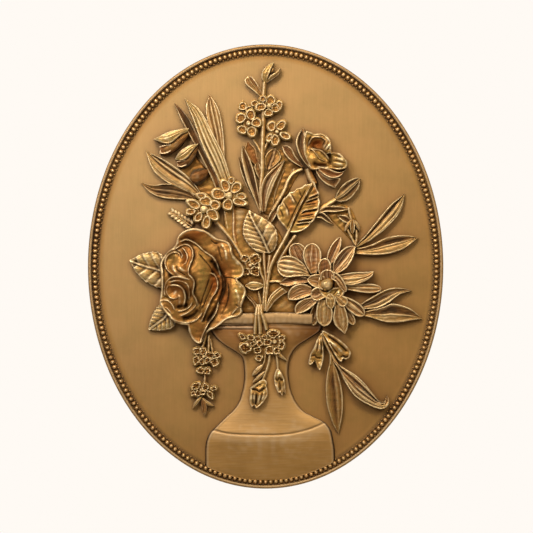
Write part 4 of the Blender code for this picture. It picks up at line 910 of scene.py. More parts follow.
rose = {
    "centre": (-58, -10),
    "outline": [
        -80, 21, -79, 26, -76, 30, -71, 33, -65, 34.5, -58, 33.5, -52, 31, -47, 27.5, -43, 25, -38, 24, -33, 21.5,
        -30.5, 17, -29.5, 12, -27, 8, -23, 4, -20, 0, -19, -5, -21, -9, -25, -11.5, -22, -15, -18.5, -19, -17.5, -24,
        -19.5, -30, -21.5, -36, -21, -41, -24, -44.5, -30, -46, -36, -48.5, -41, -52.5, -46, -56, -50, -57.5, -54, -62,
        -57, -68, -61, -69, -66, -65, -69, -58, -70, -53, -76, -52, -82, -49.5, -86, -45.5, -91, -40, -95, -33,
        -94.5, -27, -93.5, -20, -93.5, -12, -94, -4, -94.5, 2, -92, 8, -88, 13, -83, 17,
    ],
    "level": 10.5,
    "swells": [
        (-78, -8, 17, 34, 13), (-60, -8, 11, 26, 6.5), (-28, -26, 9, 18, 4.5), (-34, 10, 9, 12, 3.5),
        (-62, 30, 22, 7, 3), (-62, -62, 6, 8, -2.5), (-35, -6, 6, 9, -2.6), (-34, -30, 5, 12, -2.2),
        (-50, 28, 12, 4, -1.6), (-47, -18, 4, 12, -1.4), (-84, 6, 4.5, 4, -4), (-82, -22, 5, 4.5, -4),
        (-70, 5, 3.5, 8, -1), (-50, 20, 9, 5, -2),
    ],
    "strokes": {
        "rim": [
            [-40, -9, -42, -3, -44, 3, -47, 8, -51, 11, -56, 14.5, -60, 18.5, -65, 22, -71, 24, -77, 22],
            [
                -60, -36, -62, -30, -65, -24, -64, -17, -64, -13, -66, -10, -68.5, -7, -69, -3, -67.5, 2, -65.5, 7,
                -65, 12, -66, 16, -69, 19, -73, 19.7, -78, 17.5, -82, 15,
            ],
            [-58, -50, -54.5, -42, -51.5, -35, -48.5, -28.5, -45, -23, -43, -18, -43.5, -12, -46, -7.5, -50, -5.5],
            [-58.7, -69, -57, -63, -54, -56, -51, -50.5, -48, -46.5, -45, -42, -43.3, -37, -42, -31],
            [-76, 8.5, -77.5, 11.5, -80, 12.7, -84, 12.2, -88, 9.3, -90, 4, -89, -1, -86, -5, -82, -8],
            [-74.5, -37, -72.2, -31, -72, -26, -73.5, -21, -76.5, -18, -81, -16.6, -86, -17],
        ],
        "gap": [
            [-50, 6, -45, 1, -40.5, -6, -37.5, -12, -37.5, -20, -40, -28, -44, -36, -48, -43, -52, -50],
            [-75, -47, -69, -45.8, -63, -42.5, -60.5, -38], [-80, -36.5, -74, -36, -70, -33],
        ],
        "crease": [
            [-60, 12, -55, 6, -50, 0, -47, -6], [-50, -10, -53, -19, -57, -30, -59.5, -40],
            [-47, -14, -50, -22, -54, -31, -56.5, -39], [-80, 1, -79, -3, -75, -5.8, -70.5, -8.5],
            [-93, -25, -90, -27, -86, -28.5], [-92, 5, -91.3, -2, -91, -12, -91.5, -22],
            [-34, -14, -33, -24, -35, -34, -40, -44], [-66, -47, -62, -45, -58.5, -40, -56, -34],
            [-38, -10, -32, -10, -26, -11.5], [-28, -33.5, -24, -36, -20, -38.5], [-43, 19, -41, 11, -39, 4],
            [-50, 25, -46, 21, -42, 21],
        ],
        "lip": [
            [-86, -45.5, -80, -48.5, -74, -50, -68, -50, -63, -48.2, -59, -45, -56.5, -41],
            [-77, -44.5, -71, -42, -65, -38, -62, -33, -63, -29], [-79, -40.5, -73, -39, -68, -36, -65.5, -31.5],
            [-80, 15, -76.5, 13.5, -74.5, 10, -76, 6.5], [-75, 17, -72, 14, -70, 9, -71, 4, -74, 1],
            [-86.5, -16, -88.7, -20, -88, -24.5, -85, -28, -81, -28.7, -78, -26.5],
            [-68.5, -30, -68.3, -22, -70, -16, -75, -13.3, -81, -12.8, -86.5, -14.5],
            [-67, -12, -72, -10.6, -78, -9.3, -84, -9.8, -88.5, -13.5, -90.5, -20, -90.3, -27],
            [-81, -40, -83.5, -34.5, -87, -30.8, -91, -30, -95, -31.5], [-84, -43, -87.5, -38, -91, -36.5],
            [-31, -44, -28, -40, -25, -37, -21.5, -36],
        ],
        "fold": [
            [-83, 2, -82.5, -2.5, -80, -6, -76, -8.5, -71, -11.5], [-77.5, 0, -74, -3, -70, -5.2],
            [-83, -25, -80.5, -22.5, -79, -21], [-77.5, -25, -77, -31, -77, -35], [-27, -13.5, -23.5, -17, -21, -21],
            [-27, -20, -24.5, -27, -24, -34], [-32, 16, -30, 10, -27, 5, -23, 1], [-22.5, -28, -24.5, -35, -25, -40],
            [-40, 21, -36, 14, -35, 6],
        ],
    },
    "red": 0.45,
    # painted shade in the rose's valleys, where its petals shade each other
    "shadeAt": [
        (-44, 10, 3, 12, 0.45), (-38, -12, 2.6, 14, 0.5), (-42, 18, 8, 4, 0.3), (-50, -50, 5, 6, 0.45),
        (-34, -22, 3.5, 11, 0.3), (-66, 28, 12, 3, 0.3), (-84, -9, 4, 4, 0.4), (-76, -3, 4, 3, 0.35),
        (-70, -31, 2.4, 8, 0.35), (-77, -36, 6, 2.6, 0.45), (-53, -20, 2.4, 12, 0.3), (-82, 4, 3, 3, 0.35),
        (-31, 5, 4, 8, 0.2), (-62, 4, 3, 10, 0.25), (-80, -22, 4, 4, 0.25), (-66, -46, 8, 2, 0.35),
        (-58, -58, 4, 5, 0.2), (-72, 13, 2.5, 5, 0.3),
    ],
    "redAt": [
        (-56, -8, 6, 20, -0.45), (-25, -22, 5, 14, -0.4), (-28, 8, 7, 8, -0.35), (-38, 0, 10, 16, 0.45),
        (-38, -30, 6, 16, 0.4), (-47, -18, 3, 14, 0.35), (-84, 8, 6, 5, -0.4), (-72, 8, 6, 10, 0.4),
        (-80, -20, 8, 10, 0.3), (-62, 28, 20, 6, 0.3),
    ],
}

backing = [  # the low mass that the stems grow from
    dict(
        centre=(-4, 4), level=3.6,
        outline=[
            -26, -41, -30, -20, -30, 0, -34, 22, -38, 44, -34, 54, -22, 54, -8, 48, 4, 42, 14, 28, 20, 12, 24, -6,
            28, -22, 36, -41, 5, -42,
        ],
    ),
    dict(
        centre=(-61, 84), level=1.5,
        outline=[-68, 110, -60, 96, -50, 84, -44, 68, -54, 58, -68, 64, -76, 76, -77, 92, -74, 104],
    ),
    dict(centre=(12, 76), level=1.3, outline=[-2, 48, 0, 70, 4, 90, 12, 106, 24, 98, 32, 88, 26, 76, 20, 64, 12, 48]),
    dict(centre=(72, 42), level=0.9, outline=[56, 46, 60, 54, 70, 57, 79, 50, 84, 36, 83, 26, 77, 23, 70, 30, 63, 37]),
]

peonyHead = {
    "centre": (48, 100),
    "outline": [
        36, 121.5, 40, 121, 44, 119.3, 50, 119.5, 55, 117, 58.5, 112, 59, 106.5, 59.5, 103, 63, 102.5, 67, 101.3,
        70.5, 98, 73.3, 94.5, 73.7, 91, 72, 88, 66, 86.5, 60, 87, 54, 87.5, 49, 87.5, 44, 86.5, 40, 87.5, 37.5, 92,
        35.5, 98, 34.3, 105, 34.2, 114,
    ],
    "level": 9.5,
    "swells": [
        (46, 98, 9, 8, 3.6), (56, 108, 5, 10, 3), (66, 95, 9, 7, 2.5), (46, 110, 6.5, 4, -5), (37, 114, 4, 9, 0.5),
        (52, 99, 4, 3.5, -1),
    ],
    "strokes": {
        "lip": [
            [38.5, 105.8, 42, 104.6, 45, 101.5, 47.5, 98, 50.5, 95.8, 55, 94.3],
            [38.3, 108, 39.5, 112, 42, 115.5, 46, 116.3, 51, 115.5, 54, 112.5],
        ],
        "rim": [[57.5, 95, 55.5, 98.3, 52.5, 101.7, 49, 104.2, 45, 105, 40.5, 106.6]],
        "fold": [
            [51.5, 106.5, 54, 110.5, 55, 113], [53, 103.8, 56, 107.8, 57.2, 111], [60, 97.5, 65, 97, 71, 95],
            [59.5, 92.3, 64, 92.4, 70, 91],
        ],
        "crease": [
            [50.5, 108, 52.5, 111.5, 52.5, 114], [52.3, 105, 55, 109.2, 56, 112], [54.5, 103, 57.5, 107, 58, 109],
            [59, 100, 64, 99.5, 69, 97.5], [59.5, 94.5, 65, 94.5, 72, 92.5], [41.5, 118, 39.5, 114, 38.4, 110, 38, 106],
            [60, 89.5, 66, 88.8, 71, 89.2],
        ],
        "gap": [[56.5, 102, 57.8, 98, 58, 94, 57, 90.5], [42, 93.5, 46, 91.3, 51, 90.6, 56, 90.3]],
    },
    "red": 0.1,
    "redAt": [(46, 110, 7, 5, 0.9), (48, 91, 12, 3, 0.5)],
}

peonyPetals = [
    dict(
        left=[33, 89, 28, 91.5, 23, 94.5, 19, 98.5, 16, 103, 14.8, 107.5],
        right=[34, 90, 30, 95, 26.5, 100, 24, 105, 20, 108.7, 15.3, 108.3],
        heights=(7, 8.4, 6.6), section=dished, red=0.8, dark=0.3, rims=(0.7, 0.4),
    ),
    dict(
        left=[44.5, 88, 46.5, 82.5, 50.5, 77, 56, 73, 61.5, 70.8],
        right=[47, 88, 51, 83, 55, 80.5, 60, 79.3, 66, 79.7, 67, 77, 62.5, 71],
        heights=(8, 9, 6.8), section=dished, red=0.7, dark=0.32,
    ),
    dict(
        left=[46, 88.5, 49, 85.5, 53, 82, 58, 79.7, 63, 79.7, 67.5, 81.7, 73, 88],
        right=[46, 90, 52, 89, 57, 87.8, 62, 85.5, 66, 84.6, 70, 85.5, 73.4, 88.6],
        heights=(10, 11.5, 9.6), section=[-1, 0.2, -0.5, -1.2, 0, -1.4, 0.5, -0.4, 1, 1], red=1, rims=(0.3, 0.8),
    ),
    dict(
        left=[39, 89, 35, 93, 31, 98.5, 28, 106, 27, 112, 29, 118.5, 33.6, 124.3],
        right=[41, 90, 37.5, 96, 35.5, 103, 35, 110, 35.5, 117, 34.3, 124.3],
        heights=(11, 13, 8), section=[-1, 1.1, -0.7, 0.6, -0.2, -1.6, 0.4, -1.2, 1, 0.2], red=0.5, dark=0.25,
        rims=(0.8, 0.3), along=56,
    ),
]

dahliaPetals = [
    dict(
        base=(40, -3), tip=(25, 20.5), width=15.5, heights=(8, 7.4, 6.4), bend=1, form="petal", section=dished,
        red=0.75, dark=0.12, lines=2,
    ),
    dict(
        base=(56, 0), tip=(67.5, 26.5), width=9.5, heights=(7, 7, 6), bend=0.5, form="leaf",
        section=[-1, 0.4, -0.4, -1, 0.1, -1.1, 0.3, 0.2, 1, 0.2], red=0.6,
    ),
    dict(
        base=(70, -19), tip=(104, -20), width=8.5, heights=(7.4, 6.8, 5.4), form="petal",
        section=[-1, 0.3, -0.5, -0.5, 0, 0.4, 0.4, -0.5, 1, 0.2], lines=2, red=0.5,
    ),
    dict(
        base=(68, -33), tip=(79.5, -52), width=7.6, heights=(6.4, 6.4, 5.6), form="petal", section=dished, lines=1,
        red=0.1,
    ),
    dict(
        base=(46, -31), tip=(42, -52.8), width=8.8, heights=(7, 6.8, 6), form="petal", section=dished, lines=1,
        red=0.15,
    ),
    dict(
        left=[40, -14, 33, -15.5, 26, -16.5, 20, -18, 12.5, -15.8],
        right=[40, -11, 34, -9.3, 28, -8.3, 22, -8.8, 17, -10.8, 12.5, -14.6],
        heights=(10, 9.6, 7.6), section=[-1, 0.1, -0.4, -0.2, 0.1, -1.3, 0.6, -1, 1, 0.9], red=0.6, dark=0.1,
    ),
    dict(
        base=(64, -26), tip=(88.5, -44), width=11, heights=(11, 9.6, 7), form="petal", bend=0.6,
        section=[-1, 0.5, -0.5, -0.9, -0.1, 0.3, 0.3, -0.1, 1, -0.4], lines=1, red=0.35,
    ),
    dict(
        left=[62, -8, 70, -6.6, 76, -5.6, 83, -5, 90, -5, 96.7, -4.2],
        right=[64, -14, 71, -16.5, 78, -17, 85, -15.2, 91, -12.5, 95.5, -9, 97, -5],
        heights=(10.6, 10, 8.6), section=[-1, 0.4, -0.6, -0.6, -0.3, 0.1, 0, 0.5, 0.3, 0, 0.6, 0.5, 1, -0.4], lines=2,
        red=0.3, across=37,
    ),
    dict(
        left=[40, -6, 36.5, 0, 33.8, 7, 33.6, 13, 36.5, 18.8, 41.5, 21],
        right=[46, -6, 48.5, 0, 50, 7, 49.7, 13.5, 46.8, 18.8, 42.5, 21],
        heights=(11.4, 11, 9.4), section=[-1, 0.8, -0.5, -0.6, 0, -1, 0.5, -0.6, 1, 0.7], lines=2, red=0.7,
        rims=(0.8, 0.6), along=52,
    ),
    dict(
        left=[60, -3, 61, 4, 65, 11, 70, 16, 75, 18.3, 80.5, 18.4],
        right=[62, -7, 68, -4.8, 73, -1, 77, 4.5, 79.7, 11, 80.8, 17.8],
        heights=(12, 11.4, 9), section=[-1, 0.5, -0.5, -1.4, -0.1, -1.2, 0.2, 0.4, 0.5, 0.5, 0.75, 0.3, 1, 0.3],
        lines=2, red=0.55, along=52, across=37,
    ),
    dict(
        left=[70, -34, 72.7, -41, 74.3, -48, 73.8, -55, 71.5, -60.3],
        right=[62, -33, 61.3, -40, 60.3, -46, 62, -52, 65.5, -56, 70.8, -60.3],
        heights=(11.6, 10.8, 8.4), section=[-1, 0.6, -0.4, -0.2, 0.1, 0.2, 0.5, -0.4, 1, 0.2], lines=1, red=0.35,
        along=50,
    ),
    dict(
        left=[58, -30, 59.5, -37, 60.3, -43, 59.3, -48.5, 56.5, -52.3, 53, -53.8],
        right=[47.5, -30, 46, -36, 45.3, -42, 46, -48, 49, -52, 52.3, -53.8],
        heights=(12, 11.6, 10), section=[-1, 0.5, -0.5, -0.5, 0, 0.1, 0.5, -0.4, 1, 0.5], lines=2, red=0.2, along=50,
    ),
    dict(
        left=[48, -30, 42.5, -35.5, 37.5, -39.5, 32.5, -41.7, 28, -42.7],
        right=[41, -27.5, 34.5, -29.3, 29.5, -32, 26.3, -36.5, 26.3, -41],
        heights=(12.4, 11.4, 9.4), section=dished, lines=3, red=0.35, along=48,
    ),
    dict(
        left=[42, -25, 37.5, -27, 32, -29, 26.5, -30.3, 21.5, -30],
        right=[41, -18.5, 35, -15.8, 29, -15.8, 23.5, -18.5, 20.3, -23.5, 20, -29],
        heights=(12.6, 11.8, 10), section=dished, lines=3, red=0.4, along=48, across=37,
    ),
    dict(
        left=[40, -9, 33, -8.7, 26, -9.2, 19, -9.7, 14, -7.8, 10.8, -3.5, 10.4, 1],
        right=[38, -4, 35, 1.5, 30, 6, 24.5, 8.9, 18.5, 9.6, 13.5, 7.8, 10.4, 2.5],
        heights=(11, 12, 10.4),
        section=[-1, 0.7, -0.75, -0.3, -0.5, 0.4, -0.3, -0.5, -0.05, 0.4, 0.2, -0.5, 0.45, 0.4, 0.7, -0.4, 1, 0.7],
        lines=2, red=0.2, along=60, across=53,
    ),
    dict(
        left=[49.5, -12, 47, -3, 47.3, 2.5, 49.8, 6.3, 53, 7.6], right=[60, -11, 59, -3, 58.6, 2, 56.4, 6.2, 53.3, 7.6],
        heights=(13.4, 14, 13), section=dished, red=0.8, dark=0.12,
    ),
    dict(
        left=[51, -21, 44.5, -19, 39.5, -15.8, 37.4, -12], right=[53, -9, 47, -6.8, 41, -7.8, 37.4, -11.4],
        heights=(13.4, 13.8, 13), section=dished, lines=2, red=0.5,
    ),
    dict(
        left=[53, -28, 47.5, -30.6, 43, -30, 40.4, -26.4], right=[50, -18, 45, -18.6, 41.2, -21.4, 40.4, -25.8],
        heights=(13.4, 13.6, 12.6), section=dished, lines=1, red=0.4,
    ),
    dict(
        base=(57.5, -24), tip=(59, -38), width=9, heights=(14, 13.8, 12.6), form="leaf",
        section=[-1, 0.3, -0.4, -0.2, 0, 0.5, 0.4, -0.2, 1, 0.3], red=0.1,
    ),
    dict(
        base=(62, -25), tip=(72.5, -34.5), width=9.5, heights=(14, 13.6, 12.4), form="petal",
        section=[-1, 0.3, -0.4, -0.2, 0, 0.4, 0.5, -0.5, 1, 0.3], red=0.2,
    ),
    dict(
        left=[49, -12, 49, -7, 51, -4, 55, -2.6], right=[62, -12, 61.8, -7, 59.6, -4, 55.6, -2.6],
        heights=(14, 15.2, 14.8), section=dished, lines=2, red=0.7,
    ),
    dict(
        left=[58, -4, 64, -6, 69, -11, 72.5, -18, 72.8, -22], right=[60, -12, 63, -14, 66, -18, 69, -22, 72.2, -22.6],
        heights=(14.4, 15.2, 14), section=[-1, 0.6, -0.4, -0.7, 0, 0.6, 0.5, -0.6, 1, 0.6], red=0.5,
    ),
]

dahliaHeart = {
    "centre": (58, -18),
    "outline": [
        47, -12, 49, -6.5, 54, -3.8, 61, -4, 67, -8, 70.5, -14, 71.5, -21, 68.5, -27.4, 62, -29.8, 55, -29.4,
        49.5, -25.5, 46.5, -18,
    ],
    "level": 12.6,
    "swells": [(58.5, -17.5, 10, 9, 2.6), (61.5, -24, 6.5, 4, 1.2)],
    "strokes": {
        "rim": [[66.5, -19.4, 62, -19.6, 59, -20.8, 55.5, -23.6]],
        "fold": [[65, -20.5, 65.5, -23.5, 65.8, -26]],
        "crease": [[60, -26.5, 63, -22.5, 64, -20.8]],
        "slit": [[60.2, -11, 61.3, -15.5, 58.6, -20.8, 53, -22.6, 49, -19.5]],
    },
    "red": 0.3, "redAt": [(61, -24, 8, 5, -0.3)], "around": 120, "rings": 40,
}

smallFlowers = {  # each petal is x, z, half its width, half its height, turn; then the button at the heart
    "top": dict(
        height=8.4,
        petals=[
            (12.3, 145, 2.6, 4.2, 0), (-2.6, 150.6, 2.9, 2.8, 0), (4.5, 149.4, 4.4, 4, 30), (9, 142.3, 3.9, 3.9, 0),
            (2.6, 138.2, 4, 3.3, 0), (-4.4, 143.4, 5.2, 3.3, 8),
        ],
        heart=(3.2, 144.2, 2.5),
    ),
    "left": dict(
        height=9.2,
        petals=[
            (-13.4, 136.3, 4.1, 4.6, 10), (-8.3, 129.2, 4.6, 3.9, 10), (-12.5, 121.2, 4, 4.9, 10),
            (-21, 122.9, 4.4, 3.6, -10), (-22.2, 133.2, 4.6, 4.2, 40),
        ],
        heart=(-15.4, 128.6, 2.2),
    ),
    "right": dict(
        height=8.2,
        petals=[
            (5.4, 126, 3.6, 4.5, 0), (13.8, 126.8, 5, 3.6, 45), (17.6, 117.4, 5.6, 2.8, -22), (8.6, 113.6, 3.5, 5.3, 0),
            (3.4, 115.6, 2.2, 4.2, -25),
        ],
        heart=(10.2, 121, 1.8),
    ),
    "behind": dict(
        height=3.6, petals=[(-20.6, 144.2, 3.8, 3.6, 30), (-14.6, 141.2, 3.6, 3, 0), (-9.8, 146.8, 3.6, 2.6, 20)],
        heart=None,
    ),
    "upper": dict(
        height=10.4,
        petals=[
            (-30.8, 77.2, 2.6, 3.2, 0), (-36.2, 72.6, 3.9, 5.8, 18), (-26.6, 70.8, 5.6, 4.3, 48),
            (-42.2, 65, 6.2, 4.9, -4), (-22, 63, 4.6, 2.7, -12), (-23.4, 58, 6.6, 3.3, -14), (-33.8, 55.6, 4.6, 5, 0),
        ],
        heart=(-33.2, 63.8, 3.3),
    ),
    "lower": dict(
        height=11,
        petals=[
            (-57.5, 63.2, 4.4, 2.7, -12), (-64.6, 55.9, 6.8, 3.5, -30), (-53.6, 58.6, 5.6, 4.4, -8),
            (-45.6, 55.4, 5.2, 3.9, -30), (-67.2, 49.2, 4.6, 2.7, 6), (-60.2, 44.4, 3, 4.9, -30),
            (-47.6, 46.6, 6.2, 4.3, -38), (-53, 39.8, 3.4, 6.4, -12),
        ],
        heart=(-55.4, 51.2, 3.4),
    ),
    "hangingOne": dict(
        crumple=1, height=7,
        petals=[
            (-61.2, -76, 4.4, 3.1, 8), (-56.2, -76.2, 3.6, 3.2, -40), (-62.4, -84.2, 3, 4.1, -18),
            (-57.2, -85.6, 2.4, 3.2, 28), (-50, -79.8, 4.6, 3, 6), (-43.6, -79.8, 3, 2.5, -20),
            (-46, -85.8, 4.2, 3.5, -38), (-52.4, -84.4, 3.4, 2.4, 46), (-58.2, -93.4, 3.7, 2.9, 10),
            (-52.6, -94, 3.2, 3.1, 0),
        ],
        heart=(-55.6, -81, 1.6),
    ),
    "hangingTwo": dict(
        crumple=1, height=6.8,
        petals=[
            (-62.6, -107.6, 4.9, 2.9, 28), (-65, -114, 2.7, 1.9, 40), (-60.6, -114.2, 3, 2.5, 0),
            (-54.2, -108.6, 3.1, 3.4, 0), (-46.8, -109.6, 3.2, 2.1, 24), (-49.8, -115.2, 2.4, 4.2, 32),
            (-56.2, -113.2, 3.2, 1.9, 36),
        ],
        heart=(-58, -111, 1.4),
    ),
    "vaseLeft": dict(
        crumple=1, height=12.2,
        petals=[
            (-21, -63, 3.6, 2.2, -45), (-13.2, -64, 3.7, 2.5, -10), (-7, -65, 3.4, 2.7, 12),
            (-11.2, -69.4, 2.9, 2.2, 20), (-5.4, -69.2, 3.1, 2.6, 0), (-18, -73, 5.2, 4.7, 0),
            (-7.2, -75.2, 3.4, 3.1, 0), (-6, -82, 3.4, 2.6, 10),
        ],
        heart=(-16, -70.5, 1.5),
    ),
    "vaseRight": dict(
        crumple=1, height=13,
        petals=[
            (7, -60.4, 5.2, 3.8, 8), (-0.8, -63.8, 2.6, 2.2, 0), (1.8, -68, 3.8, 3.1, 0), (3.6, -75, 3.8, 4, 0),
            (9.8, -75.4, 3, 3.7, 0), (14.2, -70.8, 3, 4.1, -15), (14.4, -64.2, 3.2, 2.5, 20),
        ],
        heart=(8, -67.4, 2),
    ),
    "middle": dict(
        crumple=1, height=8.4,
        petals=[
            (-18.8, 7.2, 3.4, 3.4, 0), (-9.6, 6.4, 5.3, 4.9, 0), (-17.4, -4.4, 3.4, 3.6, 0),
            (-9.4, -4.2, 4.3, 4.5, -30),
        ],
        heart=(-13.6, 1.2, 1.6),
    ),
}

bellsAndBuds = [
    # the two bells and the bud beside the sword leaves: dark body, mouth, pale upper lobe
    dict(
        left=[-69, 118, -74, 110, -79, 105, -85, 101.5, -90, 100, -94, 100.5],
        right=[-70, 122, -78, 118, -85, 113, -90, 110, -94, 106], heights=(7, 9.6, 6.4), section=domed, rims=(0, 0),
        red=0.8, dark=0.5, crest=0.3,
    ),
    dict(
        left=[-85, 103.5, -90, 101.3, -95.3, 101], right=[-85, 109.5, -90, 109.3, -95.6, 107.8], heights=(9, 8, 7),
        section=dished, red=1, along=26,
    ),
    dict(
        left=[-70, 121, -76, 118, -81, 113.5, -87, 110, -93, 111, -100.3, 113.8],
        right=[-69, 124.3, -75, 124, -82, 122.5, -89, 120.5, -95, 117.5, -100.5, 114.4], heights=(8.4, 12, 8),
        section=[-1, -0.6, -0.4, 0.3, 0, 0.9, 0.25, 0, 0.5, 0.2, 1, -1.4], rims=(0.3, 0.2), red=0,
    ),
    dict(
        left=[-60, 106, -63, 99, -67, 92.5, -72, 88.8, -77.5, 88.5], right=[-62, 108, -68, 103, -73, 98, -79, 93],
        heights=(7, 9.6, 6.4), section=domed, rims=(0, 0), red=0.8, dark=0.5, crest=0.3,
    ),
    dict(
        left=[-71, 91, -75, 89.3, -79, 89.8], right=[-72, 95.5, -76, 95.5, -80.5, 94], heights=(9, 8, 7),
        section=dished, red=1, along=26,
    ),
    dict(
        left=[-62, 108, -66, 102.5, -70, 97.5, -75, 95, -81.3, 95.7],
        right=[-60.5, 110.3, -67, 109.5, -73, 106.5, -78, 102.5, -81.6, 96.5], heights=(8.4, 12, 8),
        section=[-1, -0.6, -0.4, 0.3, 0, 0.9, 0.25, 0, 0.5, 0.2, 1, -1.4], rims=(0.3, 0.2), red=0,
    ),
    dict(
        left=[-50.5, 85, -54, 78, -59, 73.6, -64, 74, -68.3, 78.4],
        right=[-50.5, 88, -57, 88.3, -63, 87.2, -67, 84, -68.7, 79.4], heights=(6, 8.8, 6.4),
        section=[-1, -2.6, -0.5, -0.4, 0.1, 0.5, 0.5, 0.1, 1, -2], rims=(0, 0), red=1, dark=0.55, crest=0.2,
    ),
    # the tails under the hanging flowers
    dict(base=(-57, -117), tip=(-65.5, -128), width=3.6, heights=(4.8, 5, 3.2), bend=-0.8, section=domed, along=24),
    dict(
        base=(-56, -118), tip=(-54.6, -134), width=5.4, heights=(4.8, 5, 3.2),
        section=[-1, -0.6, 0, 0.5, 0.3, -0.4, 1, -0.6], red=0.8, dark=0.2, crest=0.4, along=30,
    ),
    dict(base=(-57, -118), tip=(-46, -125.3), width=3.6, heights=(4.8, 5.2, 3.4), bend=-1.4, section=domed, along=24),
    # buds over the vase
    dict(base=(-2.5, -88), tip=(-12, -98), width=4.6, heights=(11.4, 11.6, 9.4), section=domed, along=28),
    dict(base=(-0.5, -94), tip=(-11.5, -104.5), width=3.8, heights=(11, 11.4, 9.2), section=domed, along=28),
    # the pale petal in the middle, and the star bud at the right
    dict(
        left=[-2, -16, -7, -13.8, -13, -13.6, -18.5, -16.6], right=[-2, -18.5, -7, -21, -13, -21.2, -18.5, -17.4],
        heights=(8.4, 10, 8), section=[-1, -0.3, -0.4, 0.4, 0.2, 0.2, 0.5, -0.6, 1, -0.2], lines=1, red=0.2,
    ),
    dict(base=(77.5, 42), tip=(71.5, 31.5), width=3.6, heights=(4.4, 5.4, 4), bend=-0.8, section=domed, along=22),
    dict(base=(78, 42), tip=(78, 29.5), width=4.4, heights=(4.8, 6, 4.4), section=dished, along=24),
    dict(base=(78.5, 42), tip=(84.3, 32), width=3.6, heights=(4.4, 5.4, 4), bend=0.8, section=domed, along=22),
    # the bud at the very top
    dict(
        left=[-2, 165, -4, 170, -3, 176, 1, 180.5, 6.8, 183.6], right=[1, 166, 2.5, 171, 4.5, 176, 7.3, 183],
        heights=(5.4, 8, 5.4), section=[-1, -0.8, -0.4, -0.2, 0.1, 0.5, 0.5, 0.1, 1, -0.6], red=0,
    ),
    dict(
        left=[1, 166, 4, 171.5, 8, 174, 12.8, 178], right=[0, 164, 4, 166.8, 9, 170, 12.3, 173.5, 13.3, 177.8],
        heights=(5.4, 7.2, 5.4), section=[-1, -0.3, -0.4, 0.4, 0.1, -0.1, 0.5, -1, 1, -1.4], rims=(0.5, 0.1), red=0.2,
    ),
    dict(base=(4, 174), tip=(7.5, 178.5), width=3.4, heights=(5, 5.4, 4.4), section=domed, along=18),
]

carvedBuds = [
    dict(  # the hanging bell at the lower right
        centre=(46.5, -77), level=7.2, swells=[(46.8, -73, 3.6, 9, 2.6), (45, -86, 5, 4, -1)],
        outline=[
            50.5, -60, 47.5, -63, 45, -68, 43, -73, 40.3, -78, 39.3, -82, 38.4, -87.5, 41, -88.2, 43.7, -85.6, 45, -87,
            46.7, -91, 48.8, -93.2, 50.4, -90, 51.5, -86, 52.3, -81, 52, -74, 51.4, -67,
        ],
        strokes={
            "fold": [
                [49, -63, 48.6, -70, 48.2, -78], [46.8, -66, 44.6, -72, 42.6, -77.5], [40.2, -83.5, 40.6, -87],
                [48.3, -85, 48.8, -91],
            ],
            "crease": [[47.6, -66, 46.6, -72, 45.4, -78], [50, -67, 50.2, -73, 50.2, -80], [44, -83, 44.6, -87]],
            "slit": [[40.3, -81, 44, -79.8, 46, -82, 50.8, -82.4]],
        },
    ),
    dict(  # the bell beside it
        centre=(64.5, -72), level=7.2, swells=[(63, -70, 9, 5, 2.6)],
        outline=[
            51.5, -57.5, 57, -60.2, 63, -63.2, 69, -67.7, 74, -72.7, 76.6, -77.5, 75.6, -81.4, 72, -83.6, 69.7, -82.8,
            68.4, -85.6, 66, -84.8, 61.8, -79, 57, -70.5, 53.3, -64, 50.6, -60,
        ],
        strokes={
            "slit": [[55.5, -62, 62, -66.5, 68, -71.5, 73.8, -77], [66.6, -82, 70, -80.6, 72, -82, 74.8, -79.4]],
            "fold": [[57.5, -61.4, 64, -65, 70, -69.6, 74.6, -75], [57, -66, 63, -71.4, 68, -76, 71.4, -79]],
            "crease": [[56, -67.5, 61, -73.5, 66, -80]],
        },
    ),
    dict(  # the large bud over the vase
        centre=(-6.5, -113), level=10.2, swells=[(-5.5, -113, 6, 10, 3.4)],
        outline=[
            -1, -101.2, 1.2, -104, 1, -107.6, 1.9, -111, 2, -115, -0.8, -120.4, -5, -125, -8.5, -127.4, -10.4, -124.6,
            -12.4, -126.2, -14.4, -122, -14.4, -116, -13.8, -111.6, -13.6, -108.8, -9, -105, -4.5, -102,
        ],
        strokes={
            "slit": [
                [-13.4, -110, -9, -110.4, -5.5, -112, -2.5, -110, 1, -108.4], [-8, -113.5, -8.5, -119, -9.2, -125.5],
            ],
            "fold": [
                [-12.4, -111.5, -12.8, -117, -12.2, -124], [-10, -112.5, -10.4, -118, -9.8, -123.5],
                [-4.6, -113.6, -5.8, -118, -7.2, -123.4], [-0.8, -111, -1.4, -115.5, -3.6, -120.6],
                [-12, -108.4, -7.4, -105.6, -3.6, -103.8], [-6, -109.6, -3, -107.4, -0.8, -105.2],
            ],
            "crease": [
                [-11.3, -112.5, -11.6, -118, -11, -124.5], [-2.8, -112.5, -3.6, -117, -5.6, -122],
                [-9.5, -108.6, -6, -106.4, -2.8, -105.2],
            ],
        },
    ),
    dict(  # the small bud beside it
        centre=(12.5, -102), level=9.8, swells=[(12.3, -101, 4, 9, 3)],
        outline=[
            11, -91.2, 13.6, -94, 15.7, -98, 17.3, -103, 17.8, -108, 18, -114, 16.2, -112.4, 15, -116, 13, -113.6,
            11, -113, 8.8, -108, 7.6, -103, 7.6, -98, 8.8, -94,
        ],
        strokes={
            "slit": [[8.2, -99.4, 10.5, -102, 12.5, -100, 14.5, -102, 16.2, -100]],
            "fold": [
                [11.8, -93.4, 11.2, -97, 10.2, -99.4], [12.6, -94, 13.8, -97, 14.4, -99.6],
                [10, -103.5, 10.4, -108, 11.4, -111.8], [14.6, -103.6, 15.4, -108, 15.4, -113],
            ],
            "crease": [[12.4, -103, 13, -108, 13.1, -112.4], [8.9, -103, 9.4, -107]],
        },
    ),
]

